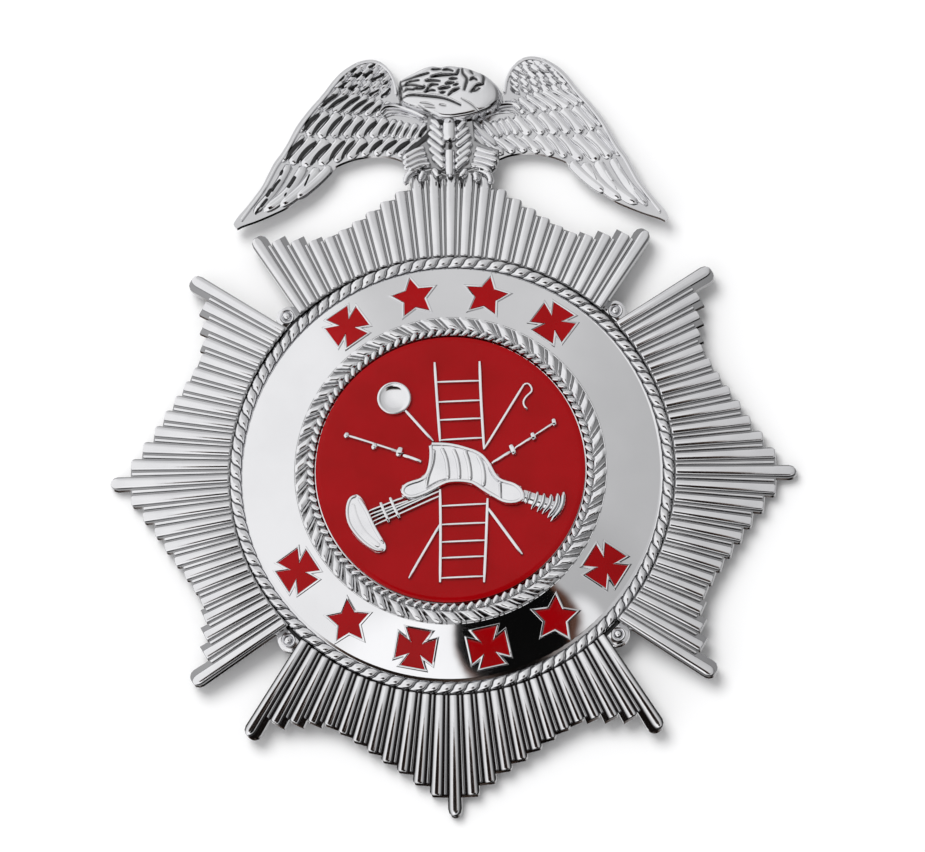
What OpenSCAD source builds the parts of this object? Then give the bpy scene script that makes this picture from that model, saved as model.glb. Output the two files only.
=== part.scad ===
// Firefighter badge: a sunburst with an eagle on top and a domed roundel with a rope rim,
// a wreath and an enamelled field. It lies on its back, face up, with the eagle towards +Y.

/* [Sunburst] */
// Distance from the roundel's centre to the end of a fan's middle ray
ray_reach = 34.3; // [32:0.1:37]
// Thickness of the plate under the rays
plate_t = 1.0; // [0.8:0.05:1.4]
// Fall of each fan from the roundel outwards, in degrees
fan_fall = 7.5; // [6:0.5:9]
// Rays on each side of a fan's middle ray
side_rays = 12; // [8:1:12]
// Angle between one ray and the next, in degrees
ray_step = 2.7; // [2.6:0.05:2.75]
// Distance behind the roundel's centre at which the rays of a fan would meet
fan_back = 6.5; // [6:0.1:7]
// Share of the space between two rays that a ray fills
ray_fill = 0.66; // [0.55:0.01:0.75]
// Height of a ray above the plate
ray_h = 0.45; // [0.3:0.05:0.6]
// Height of the narrow ridge between two rays
ridge_h = 0.25; // [0.1:0.05:0.3]
// Radius of the round bead between two fans
bead_r = 0.62; // [0.4:0.02:0.8]
// Radius of the web that carries a bead
web_r = 1.35; // [1.2:0.05:1.6]

/* [Roundel] */
// Radius of the rope rim's outer edge
rope_r = 22.2; // [21.6:0.05:22.6]
// Width of the rope rim
rope_w = 1.35; // [1.1:0.05:1.6]
// Width of the band between the rope rim and the wreath
band_w = 5.3; // [5:0.05:5.6]
// Height of the rope's seat above the ground
seat_z = 2.3; // [2.2:0.05:2.6]
// Height of the band at its outer edge
band_low_z = 3.3; // [3.1:0.05:3.5]
// Height of the band at its inner edge
band_high_z = 4.8; // [4.6:0.05:5]
// Rise of the band's middle above a straight slope
band_crown = 0.18; // [0:0.02:0.3]
// Thickness of the roundel's wall
wall = 0.9; // [0.8:0.05:1.1]
// Width of the ring on which the roundel sits
hub_w = 2.8; // [2.2:0.1:3.4]

/* [Rope and wreath] */
// Strands round the rope rim
rope_strands = 104; // [60:2:110]
// Slant of a strand from the radial direction, in degrees
rope_slant = 52; // [40:1:58]
// Leaves round the wreath's outer side
leaves = 52; // [36:2:56]
// Width of the wreath
wreath_w = 2.05; // [1.8:0.05:2.3]
// Height of the wreath above its seat at the inner edge
wreath_h = 0.95; // [0.7:0.05:1.2]

/* [Enamel] */
// Thickness of the enamel field
enamel_t = 0.6; // [0.4:0.05:0.7]
// Half width of a cross in the band
cross_r = 1.9; // [1.6:0.05:2.05]
// Radius of a star in the band, at its points
star_r = 2.2; // [1.8:0.05:2.3]
// Depth of the enamel in the band
cell_t = 0.35; // [0.2:0.05:0.4]
// Wall round the enamel of a cross or star
rim_w = 0.24; // [0.15:0.01:0.3]
// Height of that wall above the band
rim_h = 0.18; // [0.1:0.02:0.3]
// Angle between two crosses or stars
cell_step = 23; // [22:0.5:24]

/* [Emblem] */
// Height of the thin lines of the emblem
line_h = 0.3; // [0.2:0.02:0.4]
// Width of the thin lines of the emblem
line_w = 0.32; // [0.24:0.02:0.4]
// Height of the helmet
helmet_h = 0.65; // [0.4:0.05:0.8]
// Height of the trumpet
trumpet_h = 0.5; // [0.4:0.05:0.6]
// Radius of the ball
ball_r = 1.7; // [1.4:0.05:1.9]

/* [Eagle] */
// Half of the span from wing tip to wing tip
eagle_half = 21.6; // [20.6:0.1:22]
// Distance by which the wing tips lie nearer to the roundel than the end of a middle ray
eagle_sink = 9; // [8.5:0.1:9.1]
// Height of the eagle from its wing tips to the top of its wings
eagle_h = 17.6; // [16.8:0.1:18.2]
// Thickness of the wing's plate
wing_t = 0.9; // [0.7:0.05:1.2]
// Height of the feathers above the wing's plate
feather_h = 0.55; // [0.4:0.05:0.7]
// Height of the wing's raised leading edge
edge_h = 0.8; // [0.5:0.05:1]
// Height of the breast above the eagle's back
breast_h = 2.9; // [2.4:0.1:3.4]
// Height of the head above the eagle's back
head_h = 3.9; // [3.4:0.1:4.4]
// Half width of the tongue that carries the eagle
tongue_w = 2.4; // [2:0.1:2.8]
// Half width over the eagle's feet
foot_half = 4.4; // [4:0.1:4.8]
// Depth of the block behind the feet
foot_d = 2.3; // [1.8:0.1:2.8]

/* [Pin] */
// Room between the ends of the pin's bar and the roundel's slope
bar_room = 0.2; // [0.1:0.05:1.5]
// Width of the pin's bar
bar_w = 3.2; // [2.6:0.1:4]
// Thickness of the pin's bar
bar_t = 0.8; // [0.6:0.05:1]
// Diameter of the pin's wire
wire_d = 1.0; // [0.8:0.05:1.2]
// Distance of the pin above the roundel's centre
pin_y = 2.4; // [0:0.1:2.6]
// Width of the two posts that hold the wire
post_w = 2; // [1.6:0.1:2.4]
// Thickness of those posts
post_t = 1.1; // [0.9:0.1:1.4]

/* [Fit] */
// Gap between two pieces
gap = 0.05; // [0.04:0.01:0.08]

/* [Hidden] */
$fn = 96;
metal = [0.8, 0.8, 0.82];
red = [0.62, 0.04, 0.07];

// The badge's middle lies half way between the lower fan's tip and the top of the eagle
eagle_low_y = ray_reach - eagle_sink;
eagle_top_y = eagle_low_y + eagle_h;
ring_y = (ray_reach - eagle_top_y) / 2;

// End of each ray from the middle ray outwards, as a share of ray_reach along the fan
RAY_END = [1, 0.939, 0.904, 0.869, 0.84, 0.81, 0.781, 0.755, 0.732, 0.723, 0.722, 0.722, 0.757];
// The same for the top fan, whose middle rays stop at the eagle's feet
// and whose outermost rays stop at its wing tips
TOP_END = [0.89, 0.888, 0.885, 0.852, 0.822, 0.792, 0.763, 0.737, 0.715, 0.706, 0.707, 0.708, 0.716];

// Heights
floor_z = band_high_z - gap;
dish_z = floor_z - wall;
field_z = floor_z + gap + enamel_t;
emblem_z = field_z + gap;
hub_top = seat_z - 0.7 * wall - gap;
hub_t = 0.7;
hub_r = rope_r + hub_t;
ridge_back = 0.35;
seat_r = rope_r - rope_w;
wreath_r = seat_r - band_w;
field_r = wreath_r - wreath_w;
rope_z = seat_z + gap;
dish_r = wreath_r - 0.5 * wall;
bar_edge = pin_y + bar_w / 2;
bar_half = sqrt(dish_r * dish_r - bar_edge * bar_edge) - bar_room;

function polar(r, a) = [r * sin(a), r * cos(a)];
function mix(a, b, t) = a + (b - a) * t;
// Two triangles between point k and the next one of two loops of n points that start at p and q
function strip(p, q, k, n) =
    let (m = (k + 1) % n)
    [[p + k, p + m, q + m], [p + k, q + m, q + k]];

// Height of a fan's plate at distance s along the fan
function fan_z(s) = plate_t + (ray_reach - s) * tan(fan_fall);

// The rays of a fan meet at a focus behind the roundel's centre.
// Distance from the focus at which a line at angle a leaves the rope
function line_start(a) =
    let (c = fan_back * cos(a), r = rope_r + 2 * gap)
    c + sqrt(c * c + r * r - fan_back * fan_back);
function ray_end(i, ends) = (ends[abs(i)] * ray_reach + fan_back) / cos(i * ray_step);

// Columns across one ray and the ridge after it: share of the ray's half width, height
RAY_COLUMNS = [[-1, 0], [-0.5, 1], [0.5, 1], [1, 0]];
function ray_columns(i, ends) = [for (c = RAY_COLUMNS)
    [i * ray_step + c[0] * ray_fill * ray_step / 2, c[1] * ray_h, ray_end(i, ends)]];
function ridge_column(i, ends) =
    [[(i + 0.5) * ray_step, ridge_h, min(ray_end(i, ends), ray_end(i + 1, ends)) - ridge_back]];
function fan_columns(ends) = [for (i = [-side_rays:side_rays], c = concat(
    ray_columns(i, ends), i < side_rays ? ridge_column(i, ends) : [])) c];

// Foot, crest, blunted crest at the end and foot again, for one column
function fan_point(d, a, z) =
    let (p = polar(d, a) - [0, fan_back])
    [p[0], p[1], fan_z(p[1]) + z];
function column_points(c) = [
    fan_point(line_start(c[0]), c[0], -plate_t), fan_point(line_start(c[0]), c[0], c[1]),
    fan_point(c[2], c[0], 0.8 * c[1]), fan_point(c[2], c[0], -plate_t)
];

module fan(ends) {
    columns = fan_columns(ends);
    last = len(columns) - 1;
    polyhedron(
        points = [for (c = columns, p = column_points(c)) p],
        faces = concat(
            [for (j = [0:last - 1], k = [0:3], t = strip(4 * j, 4 * j + 4, k, 4)) t],
            [[3, 2, 1], [3, 1, 0], [4 * last, 4 * last + 1, 4 * last + 2],
             [4 * last, 4 * last + 2, 4 * last + 3]]
        )
    );
}

// Tongue of the top fan, grown by c where the eagle leaves room for it
module tongue(c) {
    y0 = TOP_END[1] * ray_reach - 1;
    y1 = ray_reach + c;
    under = 0.95 * plate_t + c;
    over = 0.35 * plate_t - c;
    translate([-tongue_w - c, 0, 0])
        rotate([90, 0, 90])
            linear_extrude(2 * (tongue_w + c))
                polygon([[y0, fan_z(y0) - under], [y1, fan_z(y1) - under],
                         [y1, fan_z(y1) - over], [y0, fan_z(y0) - over]]);
}

// Web and round bead between two fans
module web() {
    low = hub_top - hub_t + 2 * gap;
    high = fan_z(hub_r) - 2 * gap;
    difference() {
        translate([0, hub_r, low])
            cylinder(r = web_r, h = high - low, $fn = 20);
        translate([0, 0, low - 1])
            cylinder(r = rope_r + 0.5 * hub_t, h = high - low + 2);
    }
    hull() {
        translate([0, hub_r + 0.35, high + gap])
            sphere(r = bead_r, $fn = 12);
        translate([0, hub_r + 0.35, low + 0.3])
            cylinder(r = 0.8 * bead_r, h = 0.1, $fn = 12);
    }
}

module sunburst() {
    bottom = hub_top - hub_t;
    wall_top = fan_z(hub_r);
    color(metal)
        translate([0, ring_y, 0]) {
            fan(TOP_END);
            for (a = [90, 180, 270])
                rotate([0, 0, a])
                    fan(RAY_END);
            tongue(0);
            rotate_extrude($fn = 72)
                polygon([[hub_r, bottom], [hub_r, wall_top], [rope_r, wall_top],
                         [rope_r, hub_top], [rope_r - hub_w, hub_top], [rope_r - hub_w, bottom]]);
            for (a = [45:90:315])
                rotate([0, 0, a])
                    web();
        }
}

// Lines across one wing, from its root round the shoulder to its tip, as shares of the half span
// and of the eagle's height: columns x and y at the leading edge, then x and y at the trailing edge
WING = [
    [0.06, 0.7, 0.05, 0.34], [0.245, 0.795, 0.231, 0.374], [0.264, 0.877, 0.27, 0.418],
    [0.307, 0.965, 0.354, 0.43], [0.377, 1, 0.481, 0.392], [0.467, 0.977, 0.575, 0.339],
    [0.533, 0.912, 0.637, 0.269], [0.613, 0.784, 0.708, 0.187], [0.708, 0.614, 0.825, 0.099],
    [0.778, 0.456, 0.89, 0.062], [0.854, 0.287, 0.945, 0.033], [1, 0, 0.985, -0.012]
];
// Three rows of feathers along such a line: share of the way from the leading edge,
// height at a feather's middle and between two feathers, as shares of feather_h
ROWS = [
    [0.1, 0.3, 0.1], [0.36, 1, 0.5], [0.38, 0.4, 0.1], [0.64, 0.95, 0.45],
    [0.66, 0.35, 0.05], [0.97, 0.8, 0.35], [1, 0.3, 0.1]
];

function wing_at(x, y) = [x * eagle_half, eagle_low_y + y * eagle_h];
function wing_point(a, b, share, z) = concat(mix(a, b, share), [wing_t + z]);

// One loop of points across the wing, over a feather's middle when up is 1
function wing_column(c, up) =
    let (a = wing_at(c[0], c[1]), b = wing_at(c[2], c[3]))
    concat(
        [wing_point(a, b, 0, -wing_t), wing_point(a, b, 0, 0.7 * edge_h), wing_point(a, b, 0.05, edge_h)],
        [for (r = ROWS) wing_point(a, b, r[0], feather_h * r[2 - up])],
        [wing_point(a, b, 1, -wing_t)]
    );

module wing() {
    columns = [for (k = [0:2 * len(WING) - 2])
        wing_column(mix(WING[floor(k / 2)], WING[ceil(k / 2)], 0.5), k % 2)];
    n = len(columns[0]);
    last = n * (len(columns) - 1);
    polyhedron(
        points = [for (c = columns, p = c) p],
        faces = concat(
            [for (j = [1:len(columns) - 1], k = [0:n - 1], t = strip(n * j, n * j - n, k, n)) t],
            [for (k = [1:n - 2]) [0, k, k + 1]],
            [for (k = [1:n - 2]) [last, last + k + 1, last + k]]
        )
    );
}

module ellipsoid(x, y, z, rx, ry, rz) {
    translate([x, y, z])
        scale([rx, ry, rz])
            sphere(r = 1, $fn = 10);
}

// Head with its hooked beak towards -X, breast, thighs and claws
module eagle_body() {
    head_y = eagle_low_y + 0.78 * eagle_h;
    breast_y = eagle_low_y + 0.58 * eagle_h;
    foot_y = TOP_END[1] * ray_reach + 3 * gap;
    claw_z = fan_z(foot_y) - eagle_lift(foot_y) + ray_h + 2 * gap;
    hull() {
        ellipsoid(-2, head_y + 0.4, 0.55 * head_h, 3.2, 2.4, 0.36 * head_h);
        ellipsoid(2.3, head_y + 0.3, 0.55 * head_h, 2.9, 2.3, 0.34 * head_h);
        ellipsoid(0.4, head_y, 0.7 * head_h, 2.2, 1.7, 0.3 * head_h);
    }
    hull() {
        ellipsoid(-3.3, head_y - 1.1, 0.74 * head_h, 1.3, 0.8, 0.13 * head_h);
        ellipsoid(-0.6, head_y - 1.3, 0.72 * head_h, 1.8, 1.3, 0.2 * head_h);
        ellipsoid(-1.7, head_y - 2.5, 0.66 * head_h, 0.5, 0.6, 0.1 * head_h);
    }
    hull() {
        ellipsoid(0, breast_y + 0.9, 0.52 * breast_h, 3.2, 2, 0.48 * breast_h);
        ellipsoid(0, breast_y - 3, 0.46 * breast_h, 2.1, 1.6, 0.4 * breast_h);
    }
    for (side = [-1, 1])
        hull() {
            ellipsoid(side * 1.9, breast_y - 1.8, 0.43 * breast_h, 1.4, 1.7, 0.44 * breast_h);
            ellipsoid(side * 3.7, foot_y + 1.7, 0.4 * breast_h, 1.1, 0.9, 0.34 * breast_h);
        }
    translate([-foot_half, foot_y, 0])
        cube([2 * foot_half, foot_d, wing_t + 0.25]);
    for (side = [-1, 1], k = [-1:1])
        hull() {
            ellipsoid(side * 2.8 + k * 0.45, foot_y + 1, claw_z + 0.2, 0.4, 0.4, 0.5);
            ellipsoid(side * 2.8 + k * 0.9, foot_y - 0.3, claw_z + 0.3, 0.3, 0.35, 0.3);
        }
}

// The eagle's back rises from the ground at the top of the wings towards their tips
eagle_fall = 4.5;
function eagle_lift(y) = (eagle_top_y - y) * tan(eagle_fall);

module eagle() {
    color(metal)
        translate([0, ring_y, 0])
            difference() {
                multmatrix([[1, 0, 0, 0], [0, 1, 0, 0], [0, -tan(eagle_fall), 1, eagle_lift(0)]]) {
                    wing();
                    mirror([1, 0, 0])
                        wing();
                    intersection() {
                        eagle_body();
                        translate([-eagle_half, 0, 0.15 * wing_t])
                            cube([2 * eagle_half, 2 * eagle_top_y, 2 * head_h]);
                    }
                }
                tongue(gap);
            }
}

function cell_angle(top, i) = top ? (i - 2.5) * cell_step : 180 - (i - 3.5) * cell_step;
function is_cross(top, i) = top ? (i == 1 || i == 4) : (i == 1 || i == 3 || i == 4 || i == 6);

// Every cell as [top row or not, place in its row]
CELLS = concat([for (i = [1:4]) [true, i]], [for (i = [1:6]) [false, i]]);
band_fall = atan((band_high_z - band_low_z) / (seat_r - wreath_r));
rim_root = 0.5;
cell_r = (wreath_r + seat_r) / 2;
cell_z = (band_high_z + band_low_z) / 2 + band_crown;

// A cross with four widening arms, or a five-pointed star, with each side moved out by c
module cross_shape(c) {
    r = cross_r + c;
    w = 0.3 * cross_r + 2.3 * c;
    v = 0.66 * cross_r + 1.6 * c;
    polygon([for (a = [0:90:270], p = [[-w, w], [-v, r], [v, r]])
        [p[0] * cos(a) + p[1] * sin(a), p[1] * cos(a) - p[0] * sin(a)]]);
}

module star_shape(c) {
    grow = (star_r + 2.3 * c) / star_r;
    polygon([for (k = [0:9]) polar((k % 2 == 0 ? star_r : 0.5 * star_r) * grow, k * 36)]);
}

module cell_shape(cross, c) {
    if (cross)
        cross_shape(c);
    else
        star_shape(c);
}

// Stand on the band at one cell, with the ground of the cell square to the slope
module at_cell(top, i) {
    rotate([0, 0, -cell_angle(top, i)])
        translate([0, cell_r, cell_z])
            rotate([-band_fall, 0, 0])
                children();
}

module enamel_cell(top, i) {
    color(red)
        translate([0, ring_y, 0])
            at_cell(top, i)
                translate([0, 0, rim_h - cell_t - gap])
                    linear_extrude(cell_t)
                        cell_shape(is_cross(top, i), -gap);
}

module roundel() {
    color(metal)
        translate([0, ring_y, 0])
            difference() {
                union() {
                    rotate_extrude()
                        polygon([
                            [0, floor_z], [wreath_r + gap, floor_z], [wreath_r + gap, band_high_z],
                            [cell_r, cell_z], [seat_r - gap, band_low_z], [seat_r - gap, seat_z],
                            [rope_r - gap, seat_z], [rope_r - gap, hub_top + gap], [seat_r - wall, hub_top + gap],
                            [seat_r - 1.6 * wall, band_low_z - 0.9 * wall],
                            [dish_r, dish_z], [0, dish_z]
                        ]);
                    for (cell = CELLS)
                        at_cell(cell[0], cell[1])
                            translate([0, 0, -rim_root])
                                linear_extrude(rim_root + rim_h)
                                    cell_shape(is_cross(cell[0], cell[1]), rim_w);
                }
                for (cell = CELLS)
                    at_cell(cell[0], cell[1])
                        translate([0, 0, rim_h - cell_t - 2 * gap])
                            linear_extrude(1)
                                cell_shape(is_cross(cell[0], cell[1]), 0);
            }
}

// A closed ring of columns, each a loop of points; the loops join into one skin
module ring_skin(columns) {
    n = len(columns[0]);
    count = len(columns);
    polyhedron(
        points = [for (c = columns, p = c) p],
        faces = [for (j = [0:count - 1], k = [0:n - 1], t = strip(n * ((j + 1) % count), n * j, k, n)) t]
    );
}

function ring_point(r, a, z) = concat(polar(r, a), [z]);

// One column of the rope: a strand's crest when up is 1, the groove after it when up is 0
function rope_column(a, up) =
    let (mid = rope_r - rope_w / 2, half = rope_w / 2 - gap,
         lean = tan(rope_slant) * half / mid * 180 / PI,
         out = half * (0.9 + 0.1 * up), high = rope_z + half * (1.35 + 0.6 * up))
    [ring_point(mid + 0.8 * half, a + 0.8 * lean, rope_z), ring_point(mid + out, a + lean, rope_z + 0.8 * half),
     ring_point(mid + 0.45 * half, a + 0.45 * lean, high), ring_point(mid - 0.45 * half, a - 0.45 * lean, high),
     ring_point(mid - out, a - lean, rope_z + 0.8 * half), ring_point(mid - 0.8 * half, a - 0.8 * lean, rope_z)];

module rope_rim() {
    color(metal)
        translate([0, ring_y, 0])
            ring_skin([for (k = [0:2 * rope_strands - 1])
                rope_column(k * 180 / rope_strands, k % 2)]);
}

// One column of the wreath at q, counted in quarters of a leaf. Leaves and scallops both trail
// behind the spine; each leaf rises from its root to a tip that stands out over the next one.
function wreath_column(k) =
    let (quarter = 90 / leaves, a = k * quarter, leaf_up = [0, 0.45, 0.8, 1][k % 4], fold_up = k % 2,
         inner = field_r + gap, w = wreath_r - inner, z = floor_z + gap)
    [ring_point(wreath_r - 0.14 * w * (1 - leaf_up), a - 3 * quarter, z),
     ring_point(wreath_r - 0.14 * w * (1 - leaf_up), a - 3 * quarter, z + wreath_h * (0.2 + 0.3 * leaf_up)),
     ring_point(inner + 0.62 * w, a - 1.2 * quarter, z + wreath_h * (0.55 + 0.3 * leaf_up)),
     ring_point(inner + 0.3 * w, a, z + wreath_h * (0.8 + 0.08 * fold_up)),
     ring_point(inner + 0.1 * w * (1 - fold_up), a - 0.8 * quarter, z + wreath_h * (0.62 + 0.38 * fold_up)),
     ring_point(inner + 0.1 * w * (1 - fold_up), a - 0.8 * quarter, z)];

module wreath() {
    color(metal)
        translate([0, ring_y, 0])
            ring_skin([for (k = [0:4 * leaves - 1])
                wreath_column(k)]);
}

module enamel_field() {
    color(red)
        translate([0, ring_y, floor_z + gap])
            rotate_extrude()
                polygon([[0, 0], [field_r - gap, 0], [field_r - gap, enamel_t - 0.08],
                         [field_r - gap - 0.15, enamel_t], [0, enamel_t]]);
}

// A straight bar between two points, round at both ends
module bar(a, b, w, h) {
    run = b - a;
    translate([a[0], a[1], 0])
        rotate([0, 0, atan2(run[1], run[0])]) {
            translate([0, -w / 2, 0])
                cube([norm(run), w, h]);
            cylinder(r = w / 2, h = h, $fn = 24);
            translate([norm(run), 0, 0])
                cylinder(r = w / 2, h = h, $fn = 24);
        }
}

// Ladder: the rails' ends and the height of each rung, as shares of the field's radius
RAIL_L = [[-0.105, 0.81], [-0.072, 0.2], [-0.072, -0.87]];
RAIL_R = [[0.218, 0.815], [0.255, 0.12], [0.263, -0.28], [0.245, -0.86]];
RUNGS = [0.662, 0.513, 0.375, 0.222, -0.273, -0.412, -0.541, -0.664, -0.803];

function field_at(p) = p * field_r;
function rail_x(rail, y, k = 0) =
    (k >= len(rail) - 2 || y >= rail[k + 1][1])
    ? mix(rail[k][0], rail[k + 1][0], (rail[k][1] - y) / (rail[k][1] - rail[k + 1][1]))
    : rail_x(rail, y, k + 1);

module ladder() {
    for (rail = [RAIL_L, RAIL_R], k = [0:len(rail) - 2])
        bar(field_at(rail[k]), field_at(rail[k + 1]), line_w, line_h);
    for (y = RUNGS)
        bar(field_at([rail_x(RAIL_L, y), y - 0.003]), field_at([rail_x(RAIL_R, y), y + 0.005]),
            0.9 * line_w, 0.9 * line_h);
}

// Pikes, ball pole and hook pole: columns x and y of both ends, shares of the field's radius
POLES = [
    [-0.765, 0.273, -0.15, 0.035], [0.317, 0.041, 0.762, 0.356],
    [-0.328, 0.464, -0.11, 0.185], [0.255, 0.122, 0.524, 0.647],
    [-0.078, -0.42, -0.317, -0.783], [0.274, -0.297, 0.523, -0.648]
];
// Knobs on the pikes: columns x, y, radius as a share of the field's radius
KNOBS = [
    [-0.765, 0.273, 0.022], [-0.559, 0.181, 0.028], [-0.378, 0.137, 0.036],
    [0.762, 0.345, 0.024], [0.613, 0.235, 0.03], [0.465, 0.136, 0.034]
];
// Bend of the hook at its pole's end: columns x, y
HOOK = [[0.524, 0.647], [0.561, 0.646], [0.594, 0.601], [0.59, 0.559], [0.53, 0.511],
        [0.508, 0.481], [0.516, 0.451], [0.544, 0.424]];

module poles() {
    for (p = POLES)
        bar(field_at([p[0], p[1]]), field_at([p[2], p[3]]), 1.2 * line_w, line_h);
    for (p = KNOBS)
        translate(field_at([p[0], p[1]]))
            cylinder(r = p[2] * field_r, h = 1.3 * line_h, $fn = 24);
    for (k = [0:len(HOOK) - 2])
        bar(field_at(HOOK[k]), field_at(HOOK[k + 1]), line_w, line_h);
    translate(field_at([-0.416, 0.544]))
        intersection() {
            sphere(r = ball_r);
            translate([-ball_r, -ball_r, 0])
                cube([2 * ball_r, 2 * ball_r, helmet_h]);
        }
}

// Outline of the helmet, from the front of the crown clockwise: columns x, y
HELMET = [
    [-0.148, 0.2], [-0.074, 0.203], [0.007, 0.198], [0.118, 0.173], [0.236, 0.125], [0.302, 0.049],
    [0.331, -0.012], [0.376, -0.066], [0.471, -0.098], [0.523, -0.129], [0.555, -0.19],
    [0.544, -0.242], [0.485, -0.279], [0.404, -0.273], [0.344, -0.239], [0.267, -0.192],
    [0.175, -0.126], [0.116, -0.11], [0.05, -0.101], [-0.024, -0.107], [-0.076, -0.133],
    [-0.195, -0.198], [-0.299, -0.222], [-0.358, -0.199], [-0.373, -0.15], [-0.357, -0.108],
    [-0.298, -0.076], [-0.224, -0.054], [-0.187, -0.025], [-0.164, 0.042], [-0.153, 0.133]
];
// Ribs of the crown: columns x and y at the top and at the brim
RIBS = [
    [-0.1, 0.165, -0.12, 0.02], [-0.04, 0.165, -0.035, 0.01], [0.03, 0.155, 0.04, 0],
    [0.1, 0.135, 0.11, -0.02], [0.17, 0.1, 0.18, -0.05]
];
// Sunk slots in both ends of the brim: columns x and y of both ends, shares of the field's radius
SLOTS = [[-0.31, -0.15, -0.24, -0.13], [0.42, -0.18, 0.48, -0.18]];

module helmet() {
    difference() {
        linear_extrude(helmet_h)
            polygon([for (p = HELMET) field_at(p)]);
        for (s = SLOTS)
            translate([0, 0, 0.7 * helmet_h])
                bar(field_at([s[0], s[1]]), field_at([s[2], s[3]]), 0.06 * field_r, helmet_h);
    }
    for (r = RIBS)
        bar(field_at([r[0], r[1]]), field_at([r[2], r[3]]), 1.4 * line_w, 1.18 * helmet_h);
}

// Outline of the trumpet's bell: columns x, y, shares of the field's radius
BELL = [
    [-0.701, -0.173], [-0.661, -0.196], [-0.61, -0.273], [-0.551, -0.402], [-0.493, -0.501],
    [-0.475, -0.561], [-0.501, -0.614], [-0.545, -0.624], [-0.627, -0.589], [-0.7, -0.512],
    [-0.759, -0.413], [-0.78, -0.307], [-0.764, -0.217]
];
// Tubes side by side behind the bell: columns x and y of both ends
TUBES = [
    [-0.585, -0.297, -0.22, -0.16], [-0.575, -0.332, -0.12, -0.158],
    [-0.565, -0.367, -0.085, -0.176], [-0.555, -0.402, -0.085, -0.214]
];
BANDS = [[-0.521, -0.237, -0.462, -0.396], [-0.447, -0.201, -0.367, -0.376]];

module trumpet() {
    linear_extrude(trumpet_h)
        polygon([for (p = BELL) field_at(p)]);
    for (t = TUBES)
        bar(field_at([t[0], t[1]]), field_at([t[2], t[3]]), 1.3 * line_w, 0.8 * trumpet_h);
    for (b = BANDS)
        bar(field_at([b[0], b[1]]), field_at([b[2], b[3]]), 1.2 * line_w, trumpet_h);
}

// Fins of the ribbed nozzle: columns x and y of both ends, shares of the field's radius
FINS = [
    [0.596, -0.167, 0.581, -0.265], [0.644, -0.169, 0.607, -0.319], [0.696, -0.177, 0.647, -0.334],
    [0.744, -0.193, 0.687, -0.35], [0.789, -0.187, 0.721, -0.381], [0.841, -0.18, 0.743, -0.404]
];

module nozzle() {
    for (f = FINS)
        bar(field_at([f[0], f[1]]), field_at([f[2], f[3]]), 1.2 * line_w, 0.9 * trumpet_h);
    bar(field_at([0.5, -0.2]), field_at([0.806, -0.262]), 1.6 * line_w, 0.6 * trumpet_h);
}

module emblem() {
    color(metal)
        translate([0, ring_y, emblem_z]) {
            ladder();
            poles();
            helmet();
            trumpet();
            nozzle();
        }
}

module pin_clasp() {
    wire_z = 0.9 * wire_d;
    wire_in = 0.8;
    under = dish_z - gap;
    color(metal)
        translate([0, ring_y + pin_y, 0]) {
            translate([-bar_half, -bar_w / 2, under - bar_t])
                cube([2 * bar_half, bar_w, bar_t]);
            translate([-bar_half + wire_in, 0, wire_z])
                rotate([0, 90, 0])
                    cylinder(d = wire_d, h = 2 * (bar_half - wire_in));
            for (side = [-1, 1])
                translate([side * (bar_half - 1.4), 0, wire_z]) {
                    rotate([90, 0, 0])
                        cylinder(r = 0.85 * wire_d, h = post_w, center = true);
                    translate([-post_t / 2, -post_w / 2, 0])
                        cube([post_t, post_w, under - bar_t / 2 - wire_z]);
                }
        }
}

sunburst();
eagle();
roundel();
rope_rim();
wreath();
enamel_field();
emblem();
enamel_cell(true, 1);  // enamel_top_1
enamel_cell(true, 2);  // enamel_top_2
enamel_cell(true, 3);  // enamel_top_3
enamel_cell(true, 4);  // enamel_top_4
enamel_cell(false, 1);  // enamel_low_1
enamel_cell(false, 2);  // enamel_low_2
enamel_cell(false, 3);  // enamel_low_3
enamel_cell(false, 4);  // enamel_low_4
enamel_cell(false, 5);  // enamel_low_5
enamel_cell(false, 6);  // enamel_low_6
pin_clasp();
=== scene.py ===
import math
import bpy
import numpy as np
from mathutils import Matrix, Vector


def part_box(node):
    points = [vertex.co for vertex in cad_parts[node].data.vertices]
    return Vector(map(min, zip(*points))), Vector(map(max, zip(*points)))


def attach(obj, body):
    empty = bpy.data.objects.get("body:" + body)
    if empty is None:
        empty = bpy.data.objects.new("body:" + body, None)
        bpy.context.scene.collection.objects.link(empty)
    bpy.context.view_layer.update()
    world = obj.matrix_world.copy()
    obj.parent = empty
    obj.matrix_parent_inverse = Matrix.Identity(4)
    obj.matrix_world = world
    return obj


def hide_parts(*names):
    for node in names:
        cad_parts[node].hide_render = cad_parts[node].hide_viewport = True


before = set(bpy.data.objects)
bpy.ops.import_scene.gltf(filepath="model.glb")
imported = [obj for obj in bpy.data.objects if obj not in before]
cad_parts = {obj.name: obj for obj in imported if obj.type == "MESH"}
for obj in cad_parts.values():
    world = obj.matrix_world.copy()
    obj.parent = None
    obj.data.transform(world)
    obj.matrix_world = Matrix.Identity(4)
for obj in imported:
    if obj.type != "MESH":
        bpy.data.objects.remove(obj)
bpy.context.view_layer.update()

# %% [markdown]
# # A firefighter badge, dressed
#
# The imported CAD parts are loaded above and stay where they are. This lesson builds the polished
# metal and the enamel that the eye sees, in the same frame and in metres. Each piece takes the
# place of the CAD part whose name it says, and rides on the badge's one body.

MM = 0.001
rope_low, rope_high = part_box("rope_rim")
RING = (rope_low + rope_high) / 2
ring_y = RING.y / MM
burst_low, burst_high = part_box("sunburst")
ray_reach = burst_high.x / MM
print("ring centre y %.2f mm, ray reach %.2f mm" % (ring_y, ray_reach))

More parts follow.
